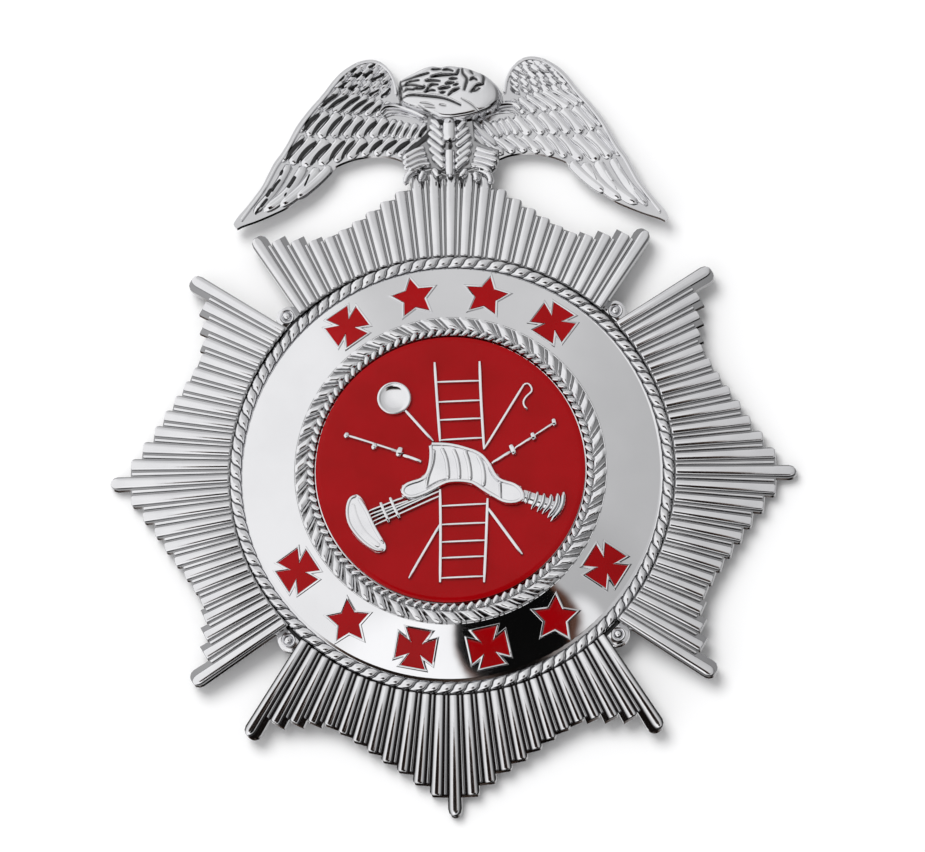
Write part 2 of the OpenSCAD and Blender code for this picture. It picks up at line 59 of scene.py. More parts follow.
# %% [markdown]
# ## The camera
#
# The photograph was taken from far away, so lines that are level on the badge stay level in the
# picture. A long lens at more than a metre does the same. The badge is seen from almost
# straight above, tilted by 12 degrees towards its lower right, and turned by under a degree.
# Those three angles were found from the ray tips and from the ring, whose circle shows as an
# ellipse, and one millimetre of the badge is about ten pixels wide.

# %% Camera
TILT, TURN, ROLL = (math.radians(a) for a in (12.0, 17.0, 0.72))
ROPE_R = 22.2  # the rope's outer radius on the badge, and below in the picture
PIXEL_MM = ROPE_R / 222.8
IMAGE = (925, 852)
RING_PIXEL = (451.8, 474.2)
AIM_Z = 2.95
DISTANCE = 1.4
ct, st = math.cos(TILT), math.sin(TILT)
ca, sa = math.cos(TURN), math.sin(TURN)
right = Vector((ca * ca + sa * sa * ct, ca * sa * (1 - ct), -sa * st))
up = Vector((sa * ca * (1 - ct), sa * sa + ca * ca * ct, ca * st))
right, up = right * math.cos(ROLL) - up * math.sin(ROLL), right * math.sin(ROLL) + up * math.cos(ROLL)
towards = right.cross(up).normalized()
off_x = (IMAGE[0] / 2 - RING_PIXEL[0]) * PIXEL_MM * MM
off_y = (RING_PIXEL[1] - IMAGE[1] / 2) * PIXEL_MM * MM
target = Vector((0, RING.y, AIM_Z * MM)) + right * off_x + up * off_y

camera_data = bpy.data.cameras.new("camera")
camera = bpy.data.objects.new("camera", camera_data)
bpy.context.scene.collection.objects.link(camera)
camera.matrix_world = Matrix((
    (right.x, up.x, towards.x, target.x + towards.x * DISTANCE),
    (right.y, up.y, towards.y, target.y + towards.y * DISTANCE),
    (right.z, up.z, towards.z, target.z + towards.z * DISTANCE),
    (0, 0, 0, 1)))
camera_data.sensor_width = 36
camera_data.lens = 36 * DISTANCE / (IMAGE[0] * PIXEL_MM * MM)
camera_data.clip_start = 0.05
camera_data.clip_end = 20
bpy.context.scene.camera = camera
print("lens %.0f mm at %.2f m" % (camera_data.lens, DISTANCE))

# %% [markdown]
# ## The studio
#
# Chrome has no colour of its own: it shows the room. So the room is painted first. Over the
# badge's upper left it is bright, towards the right it falls to grey, and low down at the lower
# right it is a brown dark. One soft sun gives the floor its faint shadow. The floor is plain and
# pale, and neither it nor the sun shows in the metal. Oval patches in the room, dark or bright,
# stand where the real badge mirrors them.

# %% View transform, and helpers for nodes
scene = bpy.context.scene
scene.view_settings.view_transform = "Standard"


def add_node(tree, kind, links=None, **values):
    """A shader node with its values, and with its inputs linked to other nodes' outputs"""
    node = tree.nodes.new(kind)
    for name, value in values.items():
        if hasattr(node, name):
            setattr(node, name, value)
    for name, value in (links or {}).items():
        if isinstance(value, bpy.types.NodeSocket):
            tree.links.new(value, node.inputs[name])
        else:
            node.inputs[name].default_value = value
    return node


def ramp(tree, factor, stops, interpolation="EASE"):
    node = add_node(tree, "ShaderNodeValToRGB", {"Fac": factor})
    node.color_ramp.interpolation = interpolation
    while len(node.color_ramp.elements) < len(stops):
        node.color_ramp.elements.new(0.5)
    for element, (place, colour) in zip(node.color_ramp.elements, stops):
        element.position = place
        element.color = (*colour, 1)
    return node.outputs["Color"]

# %% The room, seen by direction
world = bpy.data.worlds.new("room")
scene.world = world
world.use_nodes = True
room = world.node_tree
room.nodes.clear()
way = add_node(room, "ShaderNodeTexCoord").outputs["Generated"]


def towards_share(x, y, z):
    """How far a direction agrees with (x, y, z), from -1 to 1"""
    return add_node(room, "ShaderNodeVectorMath", {0: way, 1: Vector((x, y, z)).normalized()},
                    operation="DOT_PRODUCT").outputs["Value"]


def between(value, low, high):
    return add_node(room, "ShaderNodeMapRange", {"Value": value, "From Min": low, "From Max": high},
                    interpolation_type="SMOOTHSTEP").outputs["Result"]

# %% Patches of the ceiling
def patch(x, y, width, height, soft, lean=0.0, rough=0.0):
    """How much a direction lies in an oval patch of the ceiling; rough makes its edge ragged"""
    place = way
    if rough:
        noise = add_node(room, "ShaderNodeTexNoise", {"Vector": way, "Scale": 9.0, "Detail": 4.0})
        ragged = noise.outputs["Color"]
        place = add_node(room, "ShaderNodeVectorMath", {0: ragged, 1: (rough, rough, rough), 2: way},
                         operation="MULTIPLY_ADD").outputs[0]
    flat = add_node(room, "ShaderNodeMapping", {
        "Vector": place, "Location": (x + rough / 2, y + rough / 2, 0), "Scale": (width, height, 1e6),
        "Rotation": (0, 0, math.radians(lean))}, vector_type="TEXTURE")
    far = add_node(room, "ShaderNodeVectorMath", {0: flat.outputs[0]}, operation="LENGTH").outputs["Value"]
    return between(far, 1 + soft, 1 - soft)


def laid(under, colour, share):
    mixed = add_node(room, "ShaderNodeMix", data_type="RGBA")
    room.links.new(share, mixed.inputs["Factor"])
    room.links.new(under, mixed.inputs["A"])
    mixed.inputs["B"].default_value = (*colour, 1)
    return mixed.outputs["Result"]


def grey(v):
    return v, v, v * 1.01


# %% Greys and patches, laid over each other
# places from the far left of the room to its far right, and their greys
GREYS = [(0.0, 0.98), (0.22, 0.96), (0.35, 0.94), (0.47, 0.94), (0.57, 0.66), (0.75, 0.56), (0.95, 0.2)]
sideways = add_node(room, "ShaderNodeMath", {0: towards_share(1, 0, 0), 1: 0.5, 2: 0.5},
                    operation="MULTIPLY_ADD").outputs[0]
light = ramp(room, sideways, [(place, grey(v)) for place, v in GREYS])

# colour of each patch, then its x, y, width, height, softness, lean and raggedness
PATCHES = [
    (grey(0.68), (-0.05, 0.75, 0.3, 0.42, 0.35)),
    (grey(1.1), (-0.14, -0.4, 0.28, 0.17, 0.3)),
    (grey(0.5), (0.36, -0.12, 0.12, 0.16, 0.4)),
    (grey(0.9), (0.33, -0.26, 0.05, 0.06, 0.4)),
    ((0.10, 0.045, 0.03), (0.135, -0.295, 0.195, 0.15, 0.08, 21, 0.05)),
    ((0.10, 0.06, 0.04), (-0.04, -0.07, 0.2, 0.14, 0.15)),
    ((0.012, 0.009, 0.008), (-0.05, -0.07, 0.16, 0.12, 0.3)),
    ((0.003, 0.003, 0.003), (0.12, -0.29, 0.175, 0.14, 0.03, 21, 0.02))]
for colour, oval in PATCHES:
    light = laid(light, colour, patch(*oval))
light = laid(light, (0.006, 0.005, 0.005), between(towards_share(0.4, -0.9, -0.15), 0.55, 0.72))
back = add_node(room, "ShaderNodeBackground", {"Color": light, "Strength": 1.0})
out = add_node(room, "ShaderNodeOutputWorld", {"Surface": back.outputs[0]})
print("%d patches in the room" % len(PATCHES))

# %% Sun and floor
sun_data = bpy.data.lights.new("soft_sun", "SUN")
sun_data.energy = 2.0
sun_data.angle = math.radians(35)
sun = bpy.data.objects.new("soft_sun", sun_data)
scene.collection.objects.link(sun)
sun.visible_glossy = False
sun.rotation_euler = Vector((-0.35, 0.5, 1.0)).to_track_quat("Z", "Y").to_euler()

bpy.ops.mesh.primitive_plane_add(size=3)
floor = bpy.context.object
floor.name = "floor"
paper = bpy.data.materials.new("pale_paper")
paper.use_nodes = True
sheet = paper.node_tree.nodes["Principled BSDF"]
sheet.inputs["Base Color"].default_value = (0.9, 0.9, 0.9, 1)
sheet.inputs["Roughness"].default_value = 0.8
floor.data.materials.append(paper)
floor.visible_glossy = False

# %% [markdown]
# ## Tools for the pieces
#
# The badge repeats a few small forms many times: rays, rope strands, leaves, feathers. Each form
# is modelled once as a template with Blender's own tools. Copies are then bent to their places,
# as a die cutter repeats one punch. A template runs from y = 0 to y = 1, and a bend says where
# each of its corners goes, in millimetres from the ring's centre, and how deep in shade it lies.
# Bending in numbers was chosen over a modifier because it puts every corner where it should be.

# %% Tools: drawing, extruding and spinning
def only(obj):
    bpy.ops.object.select_all(action="DESELECT")
    obj.select_set(True)
    bpy.context.view_layer.objects.active = obj


def edit(obj=None):
    """Edit mode with the whole mesh selected, of obj or of what is active already"""
    if obj:
        only(obj)
    bpy.ops.object.mode_set(mode="EDIT")
    bpy.ops.mesh.select_all(action="SELECT")


def done():
    bpy.ops.object.mode_set(mode="OBJECT")


def pull(x, y, z):
    """Extrude what is selected"""
    bpy.ops.mesh.extrude_region_move(TRANSFORM_OT_translate={"value": (x, y, z)})


def draw(points, close=True):
    """A line drawn by extruding one corner from point to point; closed, it becomes a face"""
    points = [tuple(float(v) for v in p) for p in points]
    bpy.ops.object.select_all(action="DESELECT")
    bpy.ops.mesh.primitive_plane_add(size=1)
    line = bpy.context.object
    edit()
    bpy.ops.mesh.merge(type="CENTER")
    bpy.ops.transform.translate(value=points[0])
    for a, b in zip(points, points[1:]):
        pull(b[0] - a[0], b[1] - a[1], b[2] - a[2])
    if close:
        bpy.ops.mesh.select_all(action="SELECT")
        bpy.ops.mesh.edge_face_add()
    done()
    return line


def slab(points, thick):
    """A drawn face, extruded down by its thickness"""
    sheet = draw(points)
    edit(sheet)
    pull(0, 0, -thick)
    done()
    return sheet


def spun(profile, steps=144):
    """A profile of (radius, height), closed or from axis to axis, turned round the ring's centre"""
    whole = profile if profile[0][0] == 0 else profile + profile[:1]
    line = draw([(r, 0, z) for r, z in whole], close=False)
    edit(line)
    bpy.ops.mesh.spin(steps=steps, angle=2 * math.pi, center=(0, 0, 0), axis=(0, 0, 1))
    bpy.ops.mesh.select_all(action="SELECT")
    bpy.ops.mesh.remove_doubles(threshold=0.001)
    done()
    return line

# %% Tools: the half-round bar
def half_round(sides, runs, cap):
    """A half-round bar along y, drawn out in runs; cap holds (y, size) of the rings that close it"""
    bpy.ops.object.select_all(action="DESELECT")
    bpy.ops.mesh.primitive_circle_add(vertices=sides, radius=1, fill_type="NGON",
                                      rotation=(math.pi / 2, 0, 0))
    bar = bpy.context.object
    bpy.ops.object.transform_apply(location=False, rotation=True, scale=False)
    edit()
    bpy.ops.mesh.bisect(plane_co=(0, 0, 0), plane_no=(0, 0, 1), clear_inner=True)
    bpy.ops.mesh.select_all(action="SELECT")
    y = 0.0
    for _ in range(runs):
        pull(0, 1 / runs, 0)
        y += 1 / runs
    size = 1.0
    for place, share in cap:
        pull(0, place - y, 0)
        bpy.ops.transform.resize(value=(share / size, 1, share / size), center_override=(0, place, 0))
        y, size = place, share
    done()
    return bar

# %% Tools: corners, faces and shade
def taken(obj, shade=0.0):
    """The corners, faces and depth of shade of a template, which is then removed from the scene"""
    mesh = obj.data
    corners = np.array([v.co[:] for v in mesh.vertices])
    faces = [list(p.vertices) for p in mesh.polygons]
    bpy.data.objects.remove(obj)
    return corners, faces, np.full(len(corners), shade)


def bent(template, bend):
    """The template bent by a function that gives each corner its place and its depth of shade"""
    corners, faces, _ = template
    places, shade = bend(corners)
    return places, faces, shade


def turned(part, degrees):
    """A copy turned clockwise round the ring's centre, seen from above"""
    corners, faces, shade = part
    a = math.radians(degrees)
    x, y, z = corners.T
    places = np.stack([x * math.cos(a) + y * math.sin(a), y * math.cos(a) - x * math.sin(a), z], 1)
    return places, faces, shade


def mirrored(part):
    corners, faces, shade = part
    return corners * (-1, 1, 1), [face[::-1] for face in faces], shade


def moved(part, x, y, z, scale=(1, 1, 1)):
    return part[0] * scale + (x, y, z), part[1], part[2]

# %% Tools: joining one piece
def piece(name, parts, material, smooth=40):
    """One object from parts in millimetres round the ring's centre, each a closed skin of its own"""
    faces, base = [], 0
    for part in parts:
        faces += [[base + k for k in face] for face in part[1]]
        base += len(part[0])
    mesh = bpy.data.meshes.new(name)
    mesh.from_pydata((np.concatenate([part[0] for part in parts]) + (0, ring_y, 0)) * MM, [], faces)
    # painted shade: each corner's share of darkness, where grooves and feet would lie in shade
    painted_shade = mesh.attributes.new("painted_shade", "FLOAT", "POINT")
    painted_shade.data.foreach_set("value", np.concatenate([part[2] for part in parts]).astype(np.float32))
    mesh.materials.append(material)
    obj = bpy.data.objects.new(name, mesh)
    scene.collection.objects.link(obj)
    edit(obj)
    bpy.ops.mesh.normals_make_consistent(inside=False)
    done()
    bpy.ops.object.shade_smooth_by_angle(angle=math.radians(smooth))
    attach(obj, "root")
    print("%s: %d corners, %d faces" % (name, len(mesh.vertices), len(mesh.polygons)))
    return obj


def polar(r, degrees):
    a = np.radians(degrees)
    return r * np.sin(a), r * np.cos(a)

# %% [markdown]
# ## Finishes
#
# The badge is nickel and chrome on a casting: bright all over, with the slight waviness that a
# polished casting keeps. The enamel is a deep glossy red. Both could be flat colours, but then
# the surface would look like plastic. So a shader group gives both a fine unevenness, and each
# material uses it with its own values.
#
# A mirror in an open studio has no shadows in its grooves, while on the real badge narrow grooves
# mirror only each other and go dark. So that darkness is painted shade: every corner carries a number
# of painted shade, from 0 in the open to 1 deep in a groove, and the finish's colour darkens by it.

# %% Unevenness that the finishes share
uneven = bpy.data.node_groups.new("unevenness", "ShaderNodeTree")
uneven.interface.new_socket("Scale", in_out="INPUT", socket_type="NodeSocketFloat")
uneven.interface.new_socket("Value", in_out="OUTPUT", socket_type="NodeSocketFloat")
group_in = uneven.nodes.new("NodeGroupInput")
group_out = uneven.nodes.new("NodeGroupOutput")
place = add_node(uneven, "ShaderNodeTexCoord").outputs["Object"]
waves = add_node(uneven, "ShaderNodeTexNoise",
                 {"Vector": place, "Scale": group_in.outputs["Scale"], "Detail": 3.0})
uneven.links.new(waves.outputs["Fac"], group_out.inputs["Value"])


# painted shade: under full painted shade the finish keeps this share of its colour
PAINTED_SHADE_SHARE = 0.03  # what is left of the colour deep in a groove


def finish(name, colour, colour_to, scale, bump, rough, **sockets):
    """A material whose roughness, colour and bump follow the unevenness"""
    material = bpy.data.materials.new(name)
    material.use_nodes = True
    tree = material.node_tree
    shader = tree.nodes["Principled BSDF"]
    wavy = tree.nodes.new("ShaderNodeGroup")
    wavy.node_tree = uneven
    wavy.inputs["Scale"].default_value = scale
    value = wavy.outputs["Value"]
    span = add_node(tree, "ShaderNodeMapRange", {
        "Value": value, "From Min": 0.3, "From Max": 0.7, "To Min": rough[0], "To Max": rough[1]})
    tree.links.new(span.outputs["Result"], shader.inputs["Roughness"])
    # painted shade: the base colour darkens by each corner's painted shade, standing in for shaded grooves
    deep = add_node(tree, "ShaderNodeAttribute", attribute_name="painted_shade").outputs["Fac"]
    tint = add_node(tree, "ShaderNodeMix", data_type="RGBA")
    tree.links.new(deep, tint.inputs["Factor"])
    tree.links.new(ramp(tree, value, [(0.3, colour), (0.7, colour_to)]), tint.inputs["A"])
    tint.inputs["B"].default_value = (*(c * PAINTED_SHADE_SHARE for c in colour), 1)
    tree.links.new(tint.outputs["Result"], shader.inputs["Base Color"])
    lumps = add_node(tree, "ShaderNodeBump", {"Height": value, "Strength": bump, "Distance": 0.0002})
    tree.links.new(lumps.outputs["Normal"], shader.inputs["Normal"])
    for socket, amount in sockets.items():
        shader.inputs[socket.replace("_", " ")].default_value = amount
    return material


CHROME = finish("polished_chrome", (0.86, 0.86, 0.87), (0.8, 0.8, 0.815), 350.0, 0.05, (0.05, 0.11),
                Metallic=1.0)
BAND = finish("polished_band", (0.86, 0.86, 0.87), (0.82, 0.82, 0.83), 160.0, 0.02, (0.03, 0.055),
              Metallic=1.0)
RED = finish("red_enamel", (0.29, 0.001, 0.003), (0.255, 0.001, 0.002), 240.0, 0.03, (0.12, 0.2),
             Coat_Weight=0.08, Coat_Roughness=0.04, Specular_IOR_Level=0.1)
STEEL = finish("pin_steel", (0.5, 0.5, 0.52), (0.42, 0.42, 0.44), 500.0, 0.1, (0.25, 0.4), Metallic=1.0)
print("finishes:", ", ".join(m.name for m in (CHROME, BAND, RED, STEEL)))

# %% [markdown]
# ## The sunburst
#
# Four fans of rays stand round the roundel. Every fan has a long ray in its middle, twelve
# shorter ones on each side, and a narrow ridge in each groove. Cut into the die, a ray is one
# stroke of a round-nosed cutter that gets a little wider outwards, because all the rays of a fan
# start from one point behind the roundel. So one half-round bar is modelled and bent along each
# ray, and a stepped plate carries them. A flat-topped bar with a rounded shoulder keeps the calm
# bright stripe of the real rays, where a true half-round would break it into many thin lines.

# %% Measures of the sunburst, in millimetres and degrees
FAN_BACK = 6.5
RAY_STEP = 2.7
STEP_HALF = 0.98
FALL = math.tan(math.radians(7.5))
PLATE = 1.0
RAYS = 12
# how far each ray reaches, from a fan's middle outwards, as a share of the longest
RAY_END = [1, 0.939, 0.904, 0.869, 0.84, 0.81, 0.781, 0.755, 0.732, 0.723, 0.722, 0.722, 0.757]
TOP_END = [0.89, 0.888, 0.885, 0.852, 0.822, 0.792, 0.763, 0.737, 0.715, 0.706, 0.707, 0.708, 0.716]
TOP_LONGER = 0.6


def fan_z(y):
    return PLATE + (ray_reach - y) * FALL


def ray_start(a):
    c = FAN_BACK * math.cos(math.radians(a))
    return c + math.sqrt(c * c + (ROPE_R + 0.1) ** 2 - FAN_BACK ** 2)


def ray_end(i, ends):
    return (ends[abs(i)] * ray_reach + FAN_BACK) / math.cos(math.radians(i * RAY_STEP))


def in_fan(a, d, lift):
    """The place at angle a and distance d from the fan's focus, lifted above its plate"""
    x, y = polar(d, a)
    y = y - FAN_BACK
    return np.stack([x, y, fan_z(y) + lift], -1)


print("a fan has %d rays and is %.1f degrees wide" % (2 * RAYS + 1, 2 * RAYS * RAY_STEP))

# %% One ray, modelled once
ray_bar = taken(half_round(36, 4, [(1.5, 0.97), (1.85, 0.85), (2.0, 0.6)]))
long_bar = taken(half_round(36, 4, [(1.25, 0.97), (1.55, 0.86), (1.8, 0.66), (1.95, 0.4), (2.0, 0.15)]))
ridge_bar = taken(half_round(12, 4, [(1.6, 0.85), (2.0, 0.4)]))
# side, drop and shade from the foot of a ray to its crown
RAY_SHAPE = [(1.0, -0.5, 0.75), (1.0, -0.2, 0.6), (0.96, -0.125, 0.35), (0.9, -0.082, 0.06),
    (0.82, -0.055, 0), (0.72, -0.038, 0), (0.55, -0.022, 0), (0.37, -0.010, 0), (0.18, -0.0025, 0),
    (0.0, 0.0, 0)]
RIDGE_SHAPE = [(1.0, -0.5, 0.75), (0.94, -0.13, 0.2), (0.62, -0.035, 0), (0.0, 0.0, 0)]
RAY_TALL, RIDGE_TALL = 0.33, 0.27
# half a bar's width for each millimetre from the focus
RAY_WIDE, RIDGE_WIDE = 0.0139, 0.0052
ROOT = 0.16


def darker(shape, more):
    """The same shape with deeper shade"""
    return [(side, drop, max(dark, extra)) for (side, drop, dark), extra in zip(shape, more)]


def along_fan(angle, wide, start, end, shape, tall, tip):
    """Bend a bar along a fan's line, with a rounded root and a tip of its own length"""
    side, drop, dark = np.array(shape).T
    steps = range(len(shape))

    def bend(c):
        turn = np.degrees(np.arctan2(np.maximum(c[:, 2], 0), np.abs(c[:, 0]) + 1e-9))
        at = turn / 90 * (len(shape) - 1)
        size = np.where(c[:, 1] > 1, np.hypot(c[:, 0], c[:, 2]), 1)
        run = np.interp(c[:, 1], [0, 0.25, 0.5, 0.75, 1, 2],
                        [start, start + 0.03, start + 0.08, start + ROOT, end - tip, end])
        low = np.sqrt(1 - (1 - np.clip((run - start) / ROOT, 0, 1)) ** 2)
        half = wide * run * (0.85 + 0.15 * low)
        x = np.interp(at, steps, side) * np.sign(c[:, 0]) * size
        fall = np.interp(at, steps, drop) - tall * 0.4 * (1 - low) - 0.2 * (1 - size) ** 2
        lift = np.where(at < 0.5, -0.12, np.maximum(tall + fall, 0.0))
        # painted shade: along each bar's foot from its shape table, and over its root by the rope
        shade = np.maximum(np.interp(at, steps, dark), np.where(low < 0.5, 0.65, 0))
        return in_fan(angle + np.degrees(x * half / run), run, lift), shade
    return bend


def fan_rays(ends, ray_shape=RAY_SHAPE, ridge_shape=RIDGE_SHAPE):
    """The rays of one fan, and the ridges between them"""
    parts = []
    for i in range(-RAYS, RAYS + 1):
        a = i * RAY_STEP
        long_one = i in (0, -RAYS, RAYS)
        longer = TOP_LONGER if ends is TOP_END and abs(i) < 3 else 0
        parts.append(bent(long_bar if long_one else ray_bar, along_fan(
            a, RAY_WIDE, ray_start(a) + 0.02, ray_end(i, ends) - 0.04 + longer, ray_shape, RAY_TALL,
            0.8 if long_one else 0.16)))
        if i < RAYS:
            b = a + RAY_STEP / 2
            end = min(ray_end(i, ends), ray_end(i + 1, ends)) - 0.12
            parts.append(bent(ridge_bar, along_fan(
                b, RIDGE_WIDE, ray_start(b) + 0.02, end, ridge_shape, RIDGE_TALL, 0.12)))
    return parts

# %% The stepped plate under a fan
def plate_outline(ends):
    """Round the steps of one fan, as angle and distance from its focus"""
    half = []
    for i in range(RAYS + 1):
        left = -STEP_HALF if i == 0 else (i - 1) * RAY_STEP + STEP_HALF
        right = i * RAY_STEP + STEP_HALF
        end = ray_end(i, ends)
        r = 0.78 if i in (0, RAYS) else 0.4
        turn = math.degrees(r / end)
        if i == RAYS and ends[RAYS] > ends[RAYS - 1]:
            half += [(left + turn * (1 - math.cos(k)), end - r * (1 - math.sin(k)))
                     for k in (0, 0.5, 1.05, 1.4)]
        elif i > 0:
            half.append((left, end))
        half += [(right - turn * (1 - math.sin(k)), end - r * (1 - math.cos(k)))
                 for k in (0.15, 0.5, 1.0, 1.57)]
    outer = [(-a, d) for a, d in half[::-1]] + half
    edge = RAYS * RAY_STEP + STEP_HALF
    inner = [(a, ray_start(a) - 0.05) for a in np.linspace(edge, -edge, 25)]
    return outer + inner


def fan_plate(ends):
    points = [in_fan(np.float64(a), np.float64(d), 0.0) for a, d in plate_outline(ends)]
    clean = [points[0]]
    for p in points[1:]:
        if np.linalg.norm(p[:2] - clean[-1][:2]) > 0.02:
            clean.append(p)
    # painted shade on the plate, so the grooves between the rays show dark
    return taken(slab(clean, PLATE), 0.6)


# Painted shade for the low fan, whose grooves mirror the dark side of the room: its rays stay bright only on
# top
LOW_RAY = darker(RAY_SHAPE, (1, 0.9, 0.85, 0.7, 0.5, 0.3, 0.08, 0, 0, 0))
LOW_RIDGE = darker(RIDGE_SHAPE, (1, 0.75, 0.6, 0.35))
fans = fan_rays(TOP_END) + [fan_plate(TOP_END)]
fans += [turned(part, 180) for part in fan_rays(RAY_END, LOW_RAY, LOW_RIDGE) + [fan_plate(RAY_END)]]
side_fan = fan_rays(RAY_END) + [fan_plate(RAY_END)]
fans += [turned(part, a) for a in (90, 270) for part in side_fan]
print("%d parts in four fans" % len(fans))

# %% Hub, webs and beads
hub_line = [(19.4, 0.92), (22.9, 0.92), (22.9, 2.15), (22.85, 2.2), (22.25, 2.2), (22.2, 1.62), (19.4, 1.62)]
# painted shade: the hub shows as a dark groove between the rope and the rays
hub = taken(spun(hub_line), 1.0)

bpy.ops.object.select_all(action="DESELECT")
bpy.ops.mesh.primitive_cylinder_add(vertices=40, radius=1.35, depth=1.36, location=(0, 22.9, 1.7))
web_disc = bpy.context.object
bpy.ops.object.transform_apply(location=True, rotation=False, scale=False)
edit()
bpy.ops.mesh.bisect(plane_co=(0, 22.5, 0), plane_no=(0, 1, 0), clear_inner=True, use_fill=True)
bpy.ops.mesh.select_all(action="SELECT")
bpy.ops.mesh.bevel(offset=0.12, segments=2, affect="EDGES")
done()
web_disc = taken(web_disc)

bead_line = [(0, 2.2), (0.72, 2.2), (0.74, 2.5), (0.66, 2.62), (0.55, 2.6), (0.5, 2.48), (0.47, 2.6),
    (0.38, 2.78), (0.22, 2.9), (0, 2.93)]
bead = moved(taken(spun(bead_line, 24)), 0, 23.25, 0)
webs = [turned(part, a) for a in (45, 135, 225, 315) for part in (web_disc, bead)]

sunburst = piece("sunburst_rays", fans + [hub] + webs, CHROME)
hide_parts("sunburst")

# %% [markdown]
# ## The roundel
#
# The middle of the badge is a shallow dome turned on a lathe: a sloping, slightly crowned band
# round a flat floor. A lathe is what Spin is, so the profile is drawn once and turned. The crown
# is only 0.05 mm high, and it is what makes the room slide softly over the polished band.
#
# Ten cells stand on the band, crosses and stars of red enamel inside raised metal outlines. A
# flat plate would cut into the curved band, so each outline is laid on the band's own curve,
# loop by loop from the outside in: up its outer side, over its rounded top and down inside.

# %% The roundel's body
SEAT_R, WREATH_R = 20.85, 15.55
BAND_HIGH, BAND_LOW, CROWN = 4.8, 3.3, 0.05


def band_z(r):
    """Height of the crowned band at radius r"""
    t = (r - WREATH_R) / (SEAT_R - WREATH_R)
    return BAND_HIGH + (BAND_LOW - BAND_HIGH) * t + CROWN * 4 * t * (1 - t)


band_line = [(float(r), float(band_z(r))) for r in np.linspace(WREATH_R + 0.05, SEAT_R - 0.05, 15)]
body_line = ([(0, 4.75), (WREATH_R + 0.02, 4.75)] + band_line
             + [(20.8, 2.3), (22.15, 2.3), (22.15, 1.67), (19.95, 1.67)]
             + [(19.41, 2.49), (15.1, 3.85), (0, 3.85)])
roundel_body = taken(spun(body_line, 192))

# %% Rims for the crosses and stars
STEP = 23
CELLS = [(True, i) for i in range(1, 5)] + [(False, i) for i in range(1, 7)]
CELL_R = (WREATH_R + SEAT_R) / 2
CELL_FALL = math.atan((BAND_HIGH - BAND_LOW) / (SEAT_R - WREATH_R))


def is_cross(top, i):
    return i in (1, 4) if top else i in (1, 3, 4, 6)


def cell_angle(top, i):
    return (i - 2.5) * STEP if top else 180 - (i - 3.5) * STEP


def cell_outline(cross, grow):
    """A cross with widening arms or a five-pointed star, each side moved out by grow"""
    if cross:
        r, w, v = 1.9 + grow, 0.57 + 2.3 * grow, 1.254 + 1.6 * grow
        points = []
        for q in range(4):
            c, s = math.cos(q * math.pi / 2), math.sin(q * math.pi / 2)
            points += [(x * c + y * s, y * c - x * s) for x, y in ((-w, w), (-v, r), (v, r))]
        return points
    size = 1 + 2.3 * grow / 2.2
    return [tuple(float(v) for v in polar((2.2 if k % 2 == 0 else 1.1) * size, k * 36)) for k in range(10)]


def on_band(x, y, lift, angle):
    """From the flat ground of a cell to the band, whose curve it follows"""
    out = CELL_R + y * math.cos(CELL_FALL)
    r = np.hypot(x, out)
    a = np.degrees(np.arctan2(x, out)) + angle
    return np.stack([*polar(r, a), band_z(np.clip(r, WREATH_R, SEAT_R)) + lift], -1)


def cell_skin(cross, loops, angle, fill):
    """Loops of (grow, lift) joined from outside to inside; fill closes the innermost"""
    rows = []
    for grow, lift in loops:
        outline = np.array(cell_outline(cross, grow))
        share = np.linspace(0, 1, 6)[:5, None]
        fine = np.concatenate([a + (b - a) * share for a, b in zip(outline, np.roll(outline, -1, axis=0))])
        rows.append(on_band(fine[:, 0], fine[:, 1], lift, angle))
    n = len(rows[0])
    faces = [[j * n + k, j * n + (k + 1) % n, (j + 1) * n + (k + 1) % n, (j + 1) * n + k]
             for j in range(len(rows) - 1) for k in range(n)]
    if fill:
        faces.append([(len(rows) - 1) * n + k for k in range(n)])
        faces.append([n - 1 - k for k in range(n)])
    else:
        last = (len(rows) - 1) * n
        faces += [[last + k, last + (k + 1) % n, (k + 1) % n, k] for k in range(n)]
    # loops below the band carry full painted shade, so each wall darkens towards its foot
    return np.concatenate(rows), faces, np.repeat([0.0 if lift > 0 else 1.0 for _, lift in loops], n)


RIM_LOOPS = [(0.24, -0.25), (0.22, 0.1), (0.17, 0.17), (0.08, 0.18), (0.02, 0.13), (0.0, -0.25)]
rims = [cell_skin(is_cross(*cell), RIM_LOOPS, cell_angle(*cell), False) for cell in CELLS]
roundel = piece("roundel_body", [roundel_body] + rims, BAND)
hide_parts("roundel")

# %% The enamel in the cells
FILL_LOOPS = [(-0.02, -0.15), (-0.02, 0.1), (-0.12, 0.07), (-0.19, 0.075)]
names = ["enamel_%s_%d" % ("top" if top else "low", i) for top, i in CELLS]
for name, cell in zip(names, CELLS):
    fill = cell_skin(is_cross(*cell), FILL_LOOPS, cell_angle(*cell), True)
    enamel = piece(name + "_fill", [fill], RED, smooth=60)
    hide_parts(name)

# %% [markdown]
# ## The rope rim
#
# A twisted rope frames the roundel. It could be built from 104 separate strands, but strands that
# cross each other leave slivers and gaps. So one tube is spun round the ring and then twisted in
# numbers: its corners swell and sink once for each strand, and the swelling starts along the
# inner edge and ends further on at the outer edge, as a laid rope's strands do.

# %% The rope rim
STRANDS = 104
STRAND_CUTS = 10
tube_line = [(2 + math.cos(math.radians(k)), math.sin(math.radians(k))) for k in (-90, *range(0, 181, 18))]
tube = taken(spun(tube_line, STRANDS * STRAND_CUTS))


